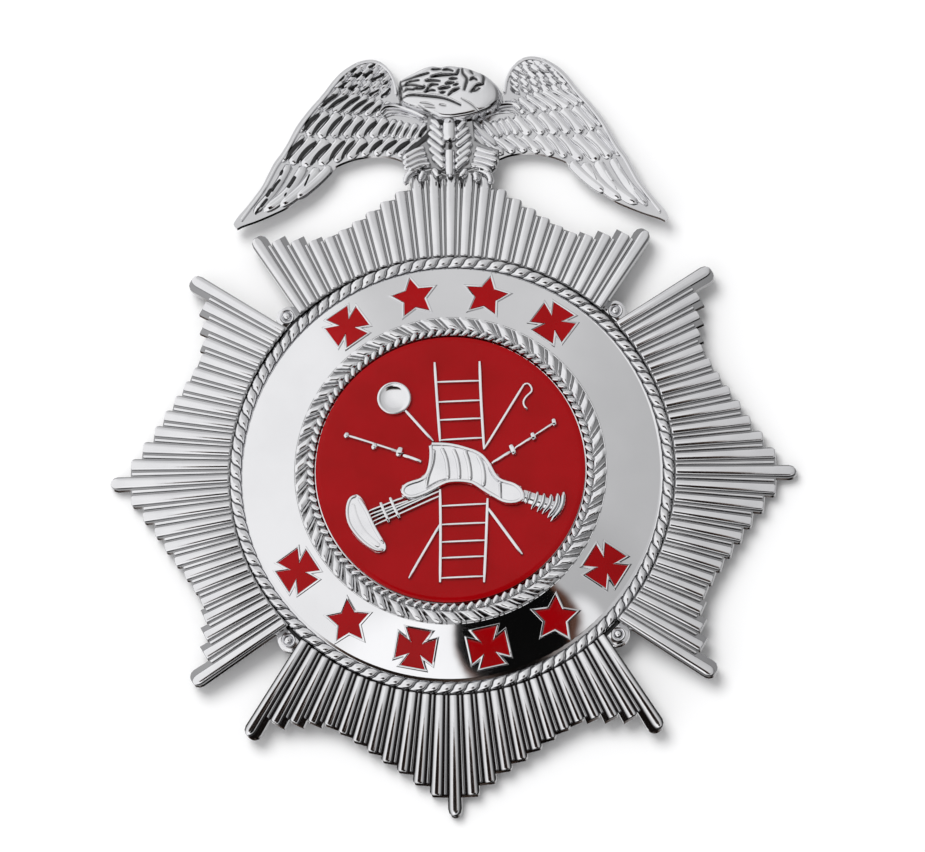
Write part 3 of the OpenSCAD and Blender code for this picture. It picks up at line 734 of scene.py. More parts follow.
def rope_bend(c):
    """Twist the tube into strands; t runs from -1 at the inner edge to 1 at the outer edge"""
    t = np.clip(np.hypot(c[:, 0], c[:, 1]) - 2, -1, 1)
    turn = np.degrees(np.arctan2(c[:, 0], c[:, 1]))
    phase = (turn / 360 * STRANDS) % 1
    phase = np.where(phase > 0.999, 0, phase)
    bulge = np.sin(np.pi * phase ** 0.9) ** 0.4
    angle = turn + (0.46 * t - 0.1 * np.sin(np.pi * t)) * 360 / STRANDS
    x, y = polar(21.61 + t * (0.58 + 0.05 * bulge), angle)
    z = 2.42 + np.where(c[:, 2] > 0.01, np.sqrt(1 - t ** 4) * (0.38 + 0.34 * bulge), -0.04)
    # painted shade in the valleys between the strands
    return np.stack([x, y, z], -1), np.clip(0.8 - 2 * bulge, 0, 1)


rope = piece("rope_strands", [bent(tube, rope_bend)], CHROME, smooth=50)
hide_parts("rope_rim")

# %% [markdown]
# ## The wreath
#
# Fifty leaves lie round the enamel, each with a thin vein beside it, and two small scallops for
# every leaf along the inner edge. All three are half-round bars bent to a leaf's shape. The leaf
# has a flat back and a steep side, so that it shows one bright face and one dark line, as a leaf
# cut with a chisel does, and painted shade on the steep side deepens that line. A turned bed
# carries them, with painted shade that makes a dark outline round the leaves.

# %% The wreath: leaves outside, small scallops inside
leaf_bar = taken(half_round(16, 5, [(1.1, 0.85), (1.15, 0.5)]))
vein_bar = taken(half_round(8, 4, [(1.1, 0.6)]))
scale_bar = taken(half_round(12, 4, [(1.12, 0.6)]))
LEAVES = 50
PITCH = 360 / LEAVES
WREATH_TURN = 2.4
BED_Z = 4.8


def leaf_bend(angle, half, high, low, chamfer, spread=1.0):
    """A blade from the spine outwards and back, with one outer corner cut off by chamfer"""
    def bend(c):
        x, t = c[:, 0], c[:, 1]
        r = 14.22 + 1.14 * t * (1 - chamfer * np.clip((x - 0.1) / 0.9, 0, 1) ** 1.5)
        wide = half * (1 - (1 - spread) * np.clip(t, 0, 1))
        crown = np.clip(1 - np.abs(x) ** 5, 0, 1) ** 0.6
        near = np.minimum(t / 0.2, 1)
        ends = np.sqrt(np.clip(near * (2 - near), 0.2, 1)) * np.where(t > 1.0, 0.7, 1)
        above = c[:, 2] > 1e-6
        z = BED_Z + np.where(above, low + high * crown * ends, 0)
        turn = angle - t * PITCH * 0.53 + np.degrees(x * wide / r)
        # painted shade on the leaf's steep sides and underneath
        return np.stack([*polar(r, turn), z], -1), np.where(above, np.where(crown < 0.3, 0.25, 0.0), 0.8)
    return bend


def scallop_bend(angle):
    """A small scallop between the wreath's inner edge and its spine"""
    def bend(c):
        t = np.clip(c[:, 1], 0, 1.12) / 1.12
        width = 0.27 * np.sin(np.pi * (0.14 + 0.72 * t)) ** 0.6
        r = 13.66 + 0.6 * t - c[:, 0] * width * 0.7
        turn = angle + (t - 0.5) * PITCH * 0.33 + np.degrees(c[:, 0] * width * 0.7 / 13.9)
        above = c[:, 2] > 1e-6
        z = BED_Z + 0.02 + np.where(above, 0.42 + 0.3 * np.maximum(c[:, 2], 0) ** 0.5, 0)
        # painted shade under each scallop
        return np.stack([*polar(r, turn), z], -1), np.where(above, 0.0, 0.8)
    return bend


# painted shade on the bed, so it shows as a dark outline round the leaves
bed = taken(spun([(13.56, 4.8), (15.5, 4.8), (15.4, 4.86), (14.6, 5.0), (13.8, 5.0), (13.6, 4.9)], 96), 0.6)
blades = []
for k in range(LEAVES):
    at = WREATH_TURN + k * PITCH
    blades.append(bent(leaf_bar, leaf_bend(at, 0.7, 0.4, 0.14, 0.34)))
    blades.append(bent(vein_bar, leaf_bend(at + 0.5 * PITCH, 0.13, 0.3, 0.3, 0.0, 0.8)))
    blades += [bent(scale_bar, scallop_bend(at + share * PITCH)) for share in (0.1, 0.6)]
wreath = piece("wreath_leaves", [bed] + blades, CHROME, smooth=60)
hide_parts("wreath")

# %% [markdown]
# ## The enamel field
#
# The red field is poured enamel, ground flat: a disc whose edge falls softly to the metal. It is
# spun from axis to axis like the roundel, and its edge is drawn with a few more points.

# %% The enamel field
field_line = [(0, 4.82), (13.42, 4.82), (13.45, 5.3), (13.3, 5.36), (12.9, 5.385), (8.0, 5.4), (0, 5.4)]
field = piece("enamel_disc", [taken(spun(field_line, 128))], RED, smooth=30)
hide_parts("enamel_field")

# %% [markdown]
# ## Strokes
#
# An engraver works in strokes: a pressed line that swells and thins. The emblem's lines, the
# eagle's feathers and its slits are all such strokes in relief. A stroke here is the same
# half-round bar, bent along a smooth curve, with its own width, height and lean. A high power
# makes its top flat and its sides steep, blunt says how wide its ends stay, and two numbers give
# the painted shade along its foot and on its face. Places are given as the camera sees them, in
# pixels of the picture, and carried down to the height of the metal, because there every line can be
# checked against the picture by eye.

# %% Strokes: places from the picture
def spot(px, py, z):
    """Where the camera's pixel meets height z, in millimetres from the ring's centre"""
    eye = (target + towards * DISTANCE) / MM
    plane = target / MM + right * (px - IMAGE[0] / 2) * PIXEL_MM - up * (py - IMAGE[1] / 2) * PIXEL_MM
    way_down = plane - eye
    hit = eye + way_down * ((z - eye.z) / way_down.z)
    return hit.x, hit.y - ring_y


def spots(flat, z):
    """The same for a row of pixels x, y, x, y"""
    return [spot(flat[k], flat[k + 1], z) for k in range(0, len(flat), 2)]


def curve(points, count):
    """A smooth curve through points, as evenly spaced places"""
    p = np.array([points[0]] + list(points) + [points[-1]], float)
    fine = []
    for k in range(1, len(p) - 2):
        t = np.linspace(0, 1, 13)[:-1, None]
        a, b, c, d = p[k - 1:k + 3]
        fine.append(0.5 * (2 * b + (c - a) * t + (2 * a - 5 * b + 4 * c - d) * t ** 2
                           + (3 * b - a - 3 * c + d) * t ** 3))
    fine = np.concatenate(fine + [p[-1:]])
    length = np.concatenate([[0], np.cumsum(np.linalg.norm(np.diff(fine, axis=0), axis=1))])
    at = np.linspace(0, length[-1], count)
    return np.stack([np.interp(at, length, fine[:, 0]), np.interp(at, length, fine[:, 1])], 1), length[-1]

# %% One stroke
bars = {}
SAMPLES = 60


def stroke(points, half, height, base, lean=0.0, ends=(None, None), power=2.0, rise=(1.0, 1.0), runs=10,
           sides=10, sink=0.08, foot=0.6, blunt=0.012, deep=0.0):
    """A half-round bar along a curve; ends say over what length it closes, base is a height or a field"""
    if (sides, runs) not in bars:
        bars[sides, runs] = taken(half_round(sides, runs, []))
    path, length = curve(points, SAMPLES)
    slope = np.gradient(path, axis=0)
    slope /= np.linalg.norm(slope, axis=1)[:, None] + 1e-9
    along = np.linspace(0, 1, SAMPLES)
    start, stop = (half if e is None else e for e in ends)

    def bend(c):
        t = 0.5 * c[:, 1] + 0.5 * (0.5 - 0.5 * np.cos(np.pi * c[:, 1]))
        s = t * length
        x, y, sx, sy = (np.interp(t, along, values) for values in (*path.T, *slope.T))
        near = np.clip(np.minimum(s / max(start, 1e-3), (length - s) / max(stop, 1e-3)), 0, 1)
        size = np.sqrt(np.clip(1 - (1 - near) ** 2, blunt, 1))
        side = c[:, 0]
        reach = np.where(side < lean, 1 + lean, 1 - lean)
        crown = np.clip(1 - np.abs((side - lean) / reach) ** power, 0, 1) ** 0.75
        x = x + sy * side * half * size
        y = y - sx * side * half * size
        ground = base(x, y) if callable(base) else base
        tall = height * (rise[0] + (rise[1] - rise[0]) * t)
        above = c[:, 2] > 1e-6
        z = np.where(above, crown * tall * np.minimum(size * 1.2, 1), -sink)
        # painted shade: one number along the stroke's foot, the other over its face
        return np.stack([x, y, ground + z], -1), np.where(above, deep, foot)
    return bent(bars[sides, runs], bend)

# %% Rows of strokes, and plates
def strokes(rows, z, height, base, **more):
    """A stroke for each row of (pixels, half width), alike in all else"""
    return [stroke(spots(flat, z), half, height, base, **more) for flat, half in rows]


def plate(outline, low, high, round_off=0.06, shade=0.0):
    """A flat plate with softened upper edges; the second inset keeps its face flat in the light"""
    sheet = draw([(x, y, low) for x, y in outline])
    edit(sheet)
    pull(0, 0, high - low)
    bpy.ops.mesh.inset(thickness=round_off, depth=0)
    bpy.ops.transform.translate(value=(0, 0, round_off))
    bpy.ops.mesh.inset(thickness=0.02, depth=0)
    done()
    return taken(sheet, shade)

# %% [markdown]
# ## The emblem
#
# The emblem is one relief on the enamel: a ladder, a helmet with ribs, a trumpet, two pikes, a
# ball and a hook on poles, and a ribbed nozzle. On the real badge its lines are flat on top with
# steep sides, left standing when the ground was cut away. So they are strokes of a high power,
# and the helmet and the trumpet are plates with a raised rim and ribs.

# %% The emblem: ladder, pikes and hook
EMBLEM_Z = 5.43
LINE_Z, HELMET_Z = EMBLEM_Z + 0.3, EMBLEM_Z + 0.5
LINE = 0.215


def line(flat, half=LINE, height=0.24, **more):
    look = {"power": 5.0, "foot": 0.3, "blunt": 0.5, **more}
    return stroke(spots(flat, LINE_Z), half, height, EMBLEM_Z, sink=0.0, **look)


emblem_parts = [line(flat, runs=6) for flat in (
    (434.5, 362, 437, 400, 440, 441), (440, 489, 440.5, 530, 440, 582),
    (479.5, 361, 481, 400, 484, 449), (487.5, 498, 486, 540, 484, 582))]
rungs = (
    (435, 382, 480, 380.5), (437, 402, 481, 400), (438.5, 420, 482, 418), (440, 440, 483, 437.5),
    (440, 506, 487, 503.5), (440.5, 524.5, 486, 522.5), (440.5, 542, 486, 540), (440.5, 558, 485, 556),
    (440, 578, 484, 576))
emblem_parts += [line(flat, 0.175, 0.22, runs=4) for flat in rungs]
poles = (
    ((347, 435, 400, 452, 403, 453), 0.19), ((403, 455, 412, 458, 421, 461.5), 0.24),
    ((492, 463, 510, 451.5), 0.22), ((515, 448, 531, 437.5), 0.18), ((535, 435, 553, 423), 0.16),
    ((405, 410, 433, 441), 0.21), ((484, 449, 524, 384), 0.18), ((440, 524, 416, 565, 409, 578), 0.19),
    ((488, 508, 522, 554), 0.23))
emblem_parts += [line(flat, half, 0.26, runs=6) for flat, half in poles]
barbs = (
    ((348, 432, 345, 438), 0.37), ((376, 442.5, 372.5, 449.5), 0.37), ((401, 446.5, 397.5, 456.5), 0.4),
    ((510, 444, 515, 454.5), 0.35), ((531.5, 432, 535, 440), 0.33), ((553, 418, 555, 426), 0.31))
emblem_parts += [line(flat, half, 0.36, runs=6, blunt=0.2) for flat, half in barbs]
hook = (524, 384, 528, 383.5, 531, 386.5, 531.5, 391, 526, 396.5, 523.5, 401, 524, 405, 527, 409)
emblem_parts.append(line(hook, 0.14, 0.24, runs=20))
print("%d strokes for ladder, pikes and poles" % len(emblem_parts))

# %% The ball on its pole
ball_line = [(0, 0), (1.74, 0.0), (1.74, 0.2), (1.66, 0.34), (1.56, 0.38), (1.46, 0.36), (1.38, 0.3),
    (1.3, 0.27), (1.0, 0.24), (0.7, 0.225), (0.35, 0.215), (0, 0.21)]
emblem_parts.append(moved(taken(spun(ball_line, 48)), *spot(394, 398, LINE_Z), EMBLEM_Z, (1, 0.97, 1)))

# %% The helmet
helmet_px = (430, 444, 440, 442.5, 451, 443, 466, 446.5, 482, 453, 491, 463, 495, 471, 501, 478, 514, 482,
    521, 486, 525.5, 494, 524, 501, 516, 504.5, 505, 504, 497, 500, 486, 494, 474, 485.5, 466, 483.5, 457,
    482.5, 447, 483.5, 440, 487, 424, 496, 410, 499.5, 402, 496.5, 400, 490, 402, 485, 410, 480.5, 420,
    477.5, 425, 473, 428, 464, 429, 452)
emblem_parts.append(plate(spots(helmet_px, EMBLEM_Z + 0.4), EMBLEM_Z, EMBLEM_Z + 0.3))
RIB_FOOT = EMBLEM_Z + 0.28
wall_px = (430, 444, 440, 444, 452, 445, 466, 448.5, 480, 454, 489, 464, 493, 472, 500, 480, 513, 484,
    519.5, 488, 523, 494, 521.5, 499, 515, 502, 505, 501.5, 498, 498, 486, 491, 474, 483, 466, 481, 457,
    480.5, 447, 481.5, 440, 484.5, 424, 493, 411, 497, 404, 494.5, 402, 490, 404, 486, 411, 482.5, 421,
    479.5, 427, 474, 430, 464, 431, 452, 430, 444)
emblem_parts += strokes([(wall_px, 0.23)], HELMET_Z, 0.26, RIB_FOOT, runs=90, ends=(0.01, 0.01), sink=0.1,
                        power=5.0)
ribs = (((441, 447, 446, 458, 448, 472, 447.5, 480), 0.26), ((452.5, 448, 457, 458, 459, 470, 459, 480),
    0.26), ((464, 449, 468, 460, 470, 472, 470, 481), 0.28), ((477, 454, 482, 464, 484, 476, 483, 487),
    0.28), ((434, 448, 433, 462, 428, 477, 426, 489), 0.22), ((425, 489, 436, 482, 447, 478.5), 0.14),
    ((488, 466, 493, 476, 499, 482), 0.14), ((500, 482, 500.5, 499), 0.2))
emblem_parts += strokes(ribs, HELMET_Z, 0.26, RIB_FOOT, runs=10, sink=0.1)

# %% The trumpet and the ribbed nozzle
bell_px = (357, 494, 362, 498, 369, 511, 376, 527, 385, 542, 386, 549, 383, 552, 376, 552.5, 364, 545, 354,
    535, 347, 523, 345, 511, 348, 500, 352, 495)
bell_outline, _ = curve(spots(bell_px + bell_px[:2], LINE_Z), 61)
BELL_Z = EMBLEM_Z + 0.2
emblem_parts.append(plate(bell_outline[:-1], EMBLEM_Z, BELL_Z))
emblem_parts += strokes([((352, 500, 355, 515, 364, 532, 382, 548), 0.5)], HELMET_Z, 0.07, BELL_Z,
                        ends=(0.9, 0.9), runs=16, sides=14, power=3.0, foot=0.3)
rim = (357, 495.5, 350, 499, 347, 510, 349, 523, 356, 534, 366, 544, 377, 550.5, 384, 549)
emblem_parts += strokes([(rim, 0.19)], LINE_Z, 0.24, BELL_Z, runs=24, power=4.0)
emblem_parts += strokes([((358, 497, 366, 510, 374, 527, 384, 544), 0.22)], LINE_Z, 0.22, BELL_Z,
                        ends=(0.5, 0.5), runs=14, power=4.0)
tubes = ((369, 511, 403, 497.5), (370, 514.5, 408, 500.5), (371, 518, 425, 495.5), (373, 521.5, 439, 491),
    (375, 525, 439, 496))
emblem_parts += [line(flat, 0.17, 0.3, runs=6) for flat in tubes]
bands = ((380.5, 502.5, 384, 511, 389, 522), (390, 497.5, 394, 507, 399.5, 518))
emblem_parts += [line(flat, 0.22, 0.42, runs=8) for flat in bands]
emblem_parts.append(line((520, 494, 535, 499, 554, 505), 0.6, 0.2, ends=(0.1, 1.2), runs=8))
fins = ((530, 490, 528.5, 498, 525.5, 503), (537.5, 490.5, 536, 500, 531, 509),
    (544, 492, 543, 502, 537, 511.5), (551, 493, 550, 503, 542, 513.5),
    (557.5, 492, 556.5, 504, 547.5, 517.5), (563.5, 490.5, 563, 502, 559, 511, 550.5, 521))
emblem_parts += [line(flat, 0.3, 0.4, ends=(0.8, 1.2), runs=10, blunt=0.05, power=2.5) for flat in fins]

emblem = piece("emblem_relief", emblem_parts, CHROME, smooth=50)
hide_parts("emblem")

# %% [markdown]
# ## The eagle's wings
#
# The eagle is one casting: a head, a breast and two wings with four rows of feathers. Sculpting
# it from one block by hand is how a medallist would do it in wax. Here the outline of a wing is
# drawn and extruded, and every feather is one low stroke with a lean. Only one wing is made, and
# the other is its mirror image, because the real wings match.

# %% The wings' plate and rim
EAGLE_TOP = 42.9
WING_T = 0.9
EAGLE_FALL = math.tan(math.radians(4.5))
WING_Z = 1.9  # the height at which the wing's lines are carried down from the picture


def wing_top(x, y):
    return WING_T + (EAGLE_TOP - y) * EAGLE_FALL


edge_px = (433, 112, 412, 106, 399, 100, 397.5, 92, 396, 82, 391, 71, 381, 61, 370, 58, 358.3, 60.3, 349.2,
    65, 340, 71.7, 331.7, 80.8, 325, 90, 318.3, 98.3, 311.7, 105.8, 305, 114.2, 298.3, 123.3, 293.3, 131.7,
    287.5, 143.3, 280.8, 154.2, 274.2, 163.3, 268.7, 174.2, 262.5, 186.7, 255, 197.5, 246.7, 208.3, 238.3,
    218.3, 234, 226, 237.5, 230)
trail_px = (241.5, 227, 246.7, 225, 258.3, 220.8, 273.3, 214.2, 286.7, 207.5, 298.3, 198.3, 308.3, 191.7,
    318.3, 181.7, 328.3, 174.2, 334.2, 166.7, 346.7, 160.8, 358.3, 157.5, 375, 155.3, 391.7, 156.7, 405,
    161, 420, 162, 434, 150, 436, 130)
edge_line, _ = curve(spots(edge_px, 1.6), 110)
trail_line, _ = curve(spots(trail_px, WING_Z), 70)
wing_outline = np.concatenate([edge_line, trail_line])
# painted shade: the wing's plate a little darker, so the gaps between feathers read as shade
wing_parts = [taken(slab([(x, y, wing_top(x, y)) for x, y in wing_outline], WING_T), 0.12)]

rim_px = (241, 222, 249, 211, 257.5, 199.5, 265, 188.5, 271.5, 176, 277, 165.5, 283.5, 156.5, 290, 145.5,
    296, 134, 301, 125.5, 307.5, 116.5, 314, 108, 321, 100, 327.5, 92, 334, 83, 342, 74, 351, 67, 359, 62.7,
    370, 60.5, 379, 62.5, 386, 67.5, 391, 74.5, 394.5, 84, 396, 95)
wing_parts += strokes([(rim_px, 0.2)], WING_Z, 0.42, wing_top, power=4.0, runs=80, ends=(0.3, 0.3), foot=0.5)

# %% Feathers, row by row
def feather_row(slits, height, outer, longer=0.42, lean=0.4, shift=0.2):
    """Feathers between the slits of one row; a slit is its top's and its foot's x, y in the picture"""
    lines = [np.array(spots(s, WING_Z)) + (shift, 0) for s in slits]
    first = lines[0] - (lines[1] - lines[0]) * outer
    parts = []
    for a, b in zip([first] + lines, lines):
        top, foot = (a[0] + b[0]) / 2, (a[1] + b[1]) / 2
        along = (foot - top) / np.linalg.norm(foot - top)
        across = np.array([-along[1], along[0]])
        half = abs(np.dot((b[0] + b[1] - a[0] - a[1]) / 2, across)) / 2 * 1.12
        points = [top - along * longer, (top + foot) / 2 + across * 0.06, foot + along * longer]
        parts.append(stroke(points, half, height, wing_top, lean=lean, ends=(0.3, 0.5), power=2.4,
                            rise=(0.8, 1.0), runs=9, sides=12, foot=0.35))
    return parts


ROW_D = [(337, 92.5, 320, 106), (347.5, 94, 326.5, 108.5), (359, 95, 339.5, 110), (366.5, 98, 349, 111.5),
    (373.5, 100.5, 359.5, 111.5), (381, 103, 371, 113), (389, 104, 381, 113)]
ROW_C = [(318.5, 112, 302.5, 130.4), (328, 114.5, 311.2, 134.6), (341.5, 115, 326, 134.5),
    (351, 118, 338, 134.5), (363, 119, 351, 134.5), (376, 120, 363.5, 134.5), (388, 121, 378, 134),
    (394.5, 122, 388, 133.5), (401, 124, 395, 135), (408, 126, 403, 135.5), (417, 126, 411, 136),
    (427.5, 124, 418, 136)]
ROW_B = [(303, 138, 285, 160), (315.5, 141, 296, 162.5), (330, 143, 310, 164.5), (344, 140, 329, 160),
    (354, 140, 341, 158), (367, 142, 355.5, 154), (382, 139, 369, 152), (396, 139.5, 381, 151.5),
    (409, 140, 393, 153), (424, 138, 404, 155)]
wing_parts += feather_row(ROW_B, 0.26, 0.5)
wing_parts += feather_row(ROW_C, 0.32, 0.5)
wing_parts += feather_row(ROW_D, 0.36, 0.6)

# The long primaries towards the tip
primaries = (((290, 164, 275, 190, 254, 214), 0.5), ((305, 166, 288, 193, 264, 212), 0.6),
    ((319, 168, 302, 189, 280, 207), 0.6), ((331, 166, 318, 180, 296, 199), 0.55))
wing_parts += strokes(primaries, WING_Z, 0.3, wing_top, lean=0.4, ends=(0.4, 1.2), power=2.4, runs=14, sides=12,
                      foot=0.35)

# Small scales on the shoulder
SCALES = ((65, 4, 354, 380), (71, 5, 345, 387), (78, 6, 339, 391), (85, 6, 334, 391), (92, 6, 331, 391))
for row, (y0, count, x0, x1) in enumerate(SCALES):
    for k in range(count):
        x = x0 + (x1 - x0) * (k + 0.5) / count
        y = y0 - 1.5 * (1 - abs(k - count / 2) / count)
        scale = ((x + 3.5, y - 4, x, y, x - 4.5, y + 4), 0.36)
        wing_parts += strokes([scale], WING_Z, 0.3 + 0.02 * row, wing_top, lean=0.4, ends=(0.3, 0.35),
                              power=2.2, runs=6, sides=10, foot=0.4)

# The smooth covert band that leads from the wing to the breast
for flat, half, high in (((379, 113, 385, 106, 398, 105.5, 412, 110, 428, 118), 0.4, 0.6),
                         ((382, 117, 392, 112.5, 408, 114, 424, 121), 0.2, 0.5)):
    wing_parts += strokes([(flat, half)], WING_Z, high, wing_top, ends=(0.5, 0.8), runs=14)
print("%d parts in one wing" % len(wing_parts))

# %% [markdown]
# ## The slits between the feathers
#
# Between the feathers the graver has cut pointed slits. Cut into the mesh they would need a very
# fine net of faces, so they are low pointed leaves with painted shade. They are painted black on
# the wing that faces the dark side of the room, and left light on the other wing, where they catch
# the light.

# %% The slits between the feathers
SLIT_Z = 2.2
MARKS = [(347, 80, 337, 86), (358, 82, 346, 88), (369, 85, 360, 90), (379, 87, 368, 93), (390, 86, 380, 95),
    (362, 70, 350, 75), (373, 68.5, 361, 74), (384, 71, 370, 78.5), (375, 61.5, 367, 65),
    (356, 66, 349, 70), (388, 79, 382, 83), (344, 73, 338, 79)]
TIP_MARKS = [((283, 169, 280, 176), 0.2), ((281, 178, 275, 186, 271, 193), 0.2), ((272, 188, 266, 198),
    0.24), ((268, 198, 260, 208), 0.2), ((261, 206, 255, 214), 0.12), ((296, 175, 292, 182, 287, 189),
    0.25), ((310, 173, 307, 180, 304, 187), 0.14), ((287, 192, 284, 197), 0.14)]


def over_wing(lift):
    return lambda x, y: wing_top(x, y) + lift


def slits(shade, size):
    """The slits of one wing as pointed leaves, shaded as that wing shows them"""
    parts = []
    for rows, half, lift in ((ROW_B, 0.24, 0.2), (ROW_C, 0.23, 0.24), (ROW_D, 0.2, 0.28)):
        for x0, y0, x1, y1 in rows:
            dx, dy = x1 - x0, y1 - y0
            bow = (x0 + dx * 0.5 - dy * 0.06, y0 + dy * 0.5 + dx * 0.06)
            wide = half * size * (1.0 if np.hypot(dx, dy) > 15 else 0.8)
            flat = (x0 - dx * 0.04, y0 - dy * 0.04, *bow, x1, y1)
            parts += strokes([(flat, wide)], SLIT_Z, 0.14, over_wing(lift), lean=-0.3, ends=(1.1, 1.3), runs=10,
                             sides=8, deep=shade, foot=shade)
    for x0, y0, x1, y1 in MARKS:
        flat = (x0, y0, (x0 + x1) / 2 + 0.6, (y0 + y1) / 2 + 0.6, x1, y1)
        parts += strokes([(flat, 0.17 * size)], SLIT_Z, 0.12, over_wing(0.28), ends=(0.4, 0.5), runs=6, sides=8,
                         deep=min(1, shade + 0.4), foot=shade)
    tips = [(flat, half * size) for flat, half in TIP_MARKS]
    return parts + strokes(tips, SLIT_Z, 0.12, over_wing(0.22), ends=(0.3, 0.3), runs=6, sides=8, deep=shade,
                           foot=shade)


# painted shade: the same slits painted black on one wing and left light on the mirrored wing
shaded_slits = slits(0.97, 1.0)
lit_slits = [mirrored(part) for part in slits(0.0, 0.7)]
print("%d slits in a wing" % len(shaded_slits))

# %% [markdown]
# ## The eagle's head
#
# The head is a low dome, steep at its outline and nearly flat on top, with the graver's lines cut
# into it. Strokes on top would stand out instead of being cut in, so the dome is a net of rings,
# each a smaller copy of the outline. Every corner is lowered and shaded by how near it lies to
# one of the lines.

# %% The head: a low dome with engraved locks
head_px = (398, 80, 405, 76, 414, 71.5, 424, 67, 432, 65.5, 440, 66.5, 448, 65, 458, 66, 468, 67.5, 476,
    70.5, 484, 73.5, 492, 79, 499, 86, 502, 93, 501.5, 100, 498, 105, 492, 110.5, 484, 114, 474, 117.5, 462,
    120, 450, 121.5, 440, 120.5, 433, 117, 424, 112.5, 412, 108, 403, 104.5, 398, 100, 396.5, 90, 398, 80)
GROOVES = [
    (399, 82, 405, 80, 418, 76, 429, 73), (397, 92, 401, 86.5, 411.5, 84.5, 423.5, 87),
    (415, 88.5, 423, 88, 425, 86),
    (399, 101, 404, 97, 411.5, 95, 424.8, 95.8, 444.7, 98.5, 460.6, 105.1),
    (431.4, 77.2, 442, 75.3, 456.6, 74.6),
    (432, 69.5, 441, 69), (457, 74.5, 459.3, 69.3), (462.5, 68, 463.2, 73.3, 467.2, 79, 466, 85, 464.6, 90),
    (481, 72, 484, 78, 483, 84),
    (483, 84, 477, 86, 474, 89, 471, 92), (480, 88, 474, 91), (448.7, 95.1, 453, 91.5, 459.3, 88.5),
    (426, 91.8, 431.4, 85.2, 438, 84.5),
    (439.4, 89.2, 450, 87.2), (446, 84, 454, 82.5), (425, 92, 430, 90, 435, 90.5), (470, 70, 473, 74),
    (398, 84, 399, 90, 398, 97),
    (400, 83, 402, 90), (401, 97, 399, 103),
    (406, 84, 412, 81, 419, 80), (426, 81, 433, 80.5, 440, 81), (403, 92, 408, 89, 414, 89.5),
    (443, 70, 449, 69.5, 453, 71), (450, 79, 457, 78.5),
    (470, 80, 474, 78, 477, 80), (399, 86, 401, 94, 399, 100), (441, 93, 445, 92), (454, 85, 458, 84)]
FINE = [(418.2, 105, 427, 111, 436.7, 119), (421, 103, 427, 103.5, 434, 105.5), (425, 107, 435, 108),
    (490, 105, 500, 101), (462, 99, 472, 105, 479, 112), (440, 105, 446, 106)]
HEAD_TALL = 2.5
# each line's path with its width, depth and shade
groove_lines = [(curve(spots(g, 3.6), 70)[0], *size) for lines, size in (
    (GROOVES, (0.14, 0.2, 1.0)), (FINE, (0.08, 0.06, 0.75))) for g in lines]


def head_lift(x, y, u):
    """Height and shade of the dome: steep at its outline, nearly flat above, with the graver's lines"""
    z = 1.0 + HEAD_TALL * (1 - u ** 22) ** 0.5 + 0.25 * (1 - (x / 5.6) ** 2)
    # painted shade: dark round the steep outline, faint over the top of the dome
    shade = np.where(u > 0.99, 0.7, 0.07)
    for path, width, depth, dark in groove_lines:
        d = np.hypot(x[:, None] - path[None, :, 0], y[:, None] - path[None, :, 1])
        share = d.argmin(1) / (len(path) - 1)
        swell = np.sin(np.pi * np.clip(0.15 + 0.7 * share, 0, 1)) ** 0.6
        near = np.exp(-(d.min(1) / (width * swell)) ** 2)
        z = z - depth * near * (1 - u ** 12)
        # painted shade in the graver's lines
        shade = np.maximum(shade, dark * near ** 0.8)
    return z, shade


outline, _ = curve(spots(head_px, 3.1), 241)
outline = outline[:-1]
middle = outline.mean(axis=0)
rings, around = 46, len(outline)
sizes = (np.arange(1, rings + 1) / rings) ** 0.9
share = np.concatenate([[0.0], np.repeat(sizes, around)])
flat = np.concatenate([[middle]] + [middle + (outline - middle) * size for size in sizes])
head_z, head_shade = head_lift(flat[:, 0], flat[:, 1], share)
head_faces = [[0, 1 + k, 1 + (k + 1) % around] for k in range(around)]
for r in range(rings - 1):
    b = 1 + r * around
    head_faces += [[b + k, b + around + k, b + around + (k + 1) % around, b + (k + 1) % around]
                   for k in range(around)]
head_faces.append([1 + (rings - 1) * around + k for k in range(around)][::-1])
head_part = (np.column_stack([flat, head_z]), head_faces, head_shade)
print("%d lines cut into the head" % len(groove_lines))

# %% [markdown]
# ## Breast, thighs and feet
#
# Below the head a small plate carries the breast's middle, short feathers that slant towards it,
# the thighs and the claws that hold the top fan. They are strokes like the wings' feathers, only
# steeper, because they catch the light one by one.

# %% Breast, thighs and feet
def body_top(x, y):
    return 1.75 + (EAGLE_TOP - y) * EAGLE_FALL


body_px = (428, 116, 473, 116, 475, 141, 486, 146, 499, 150, 499, 157, 496, 168, 490, 173, 472, 168, 452,
    174, 447, 174, 430, 168, 410, 173, 404, 168, 401, 158, 404, 151, 418, 146, 426, 141)
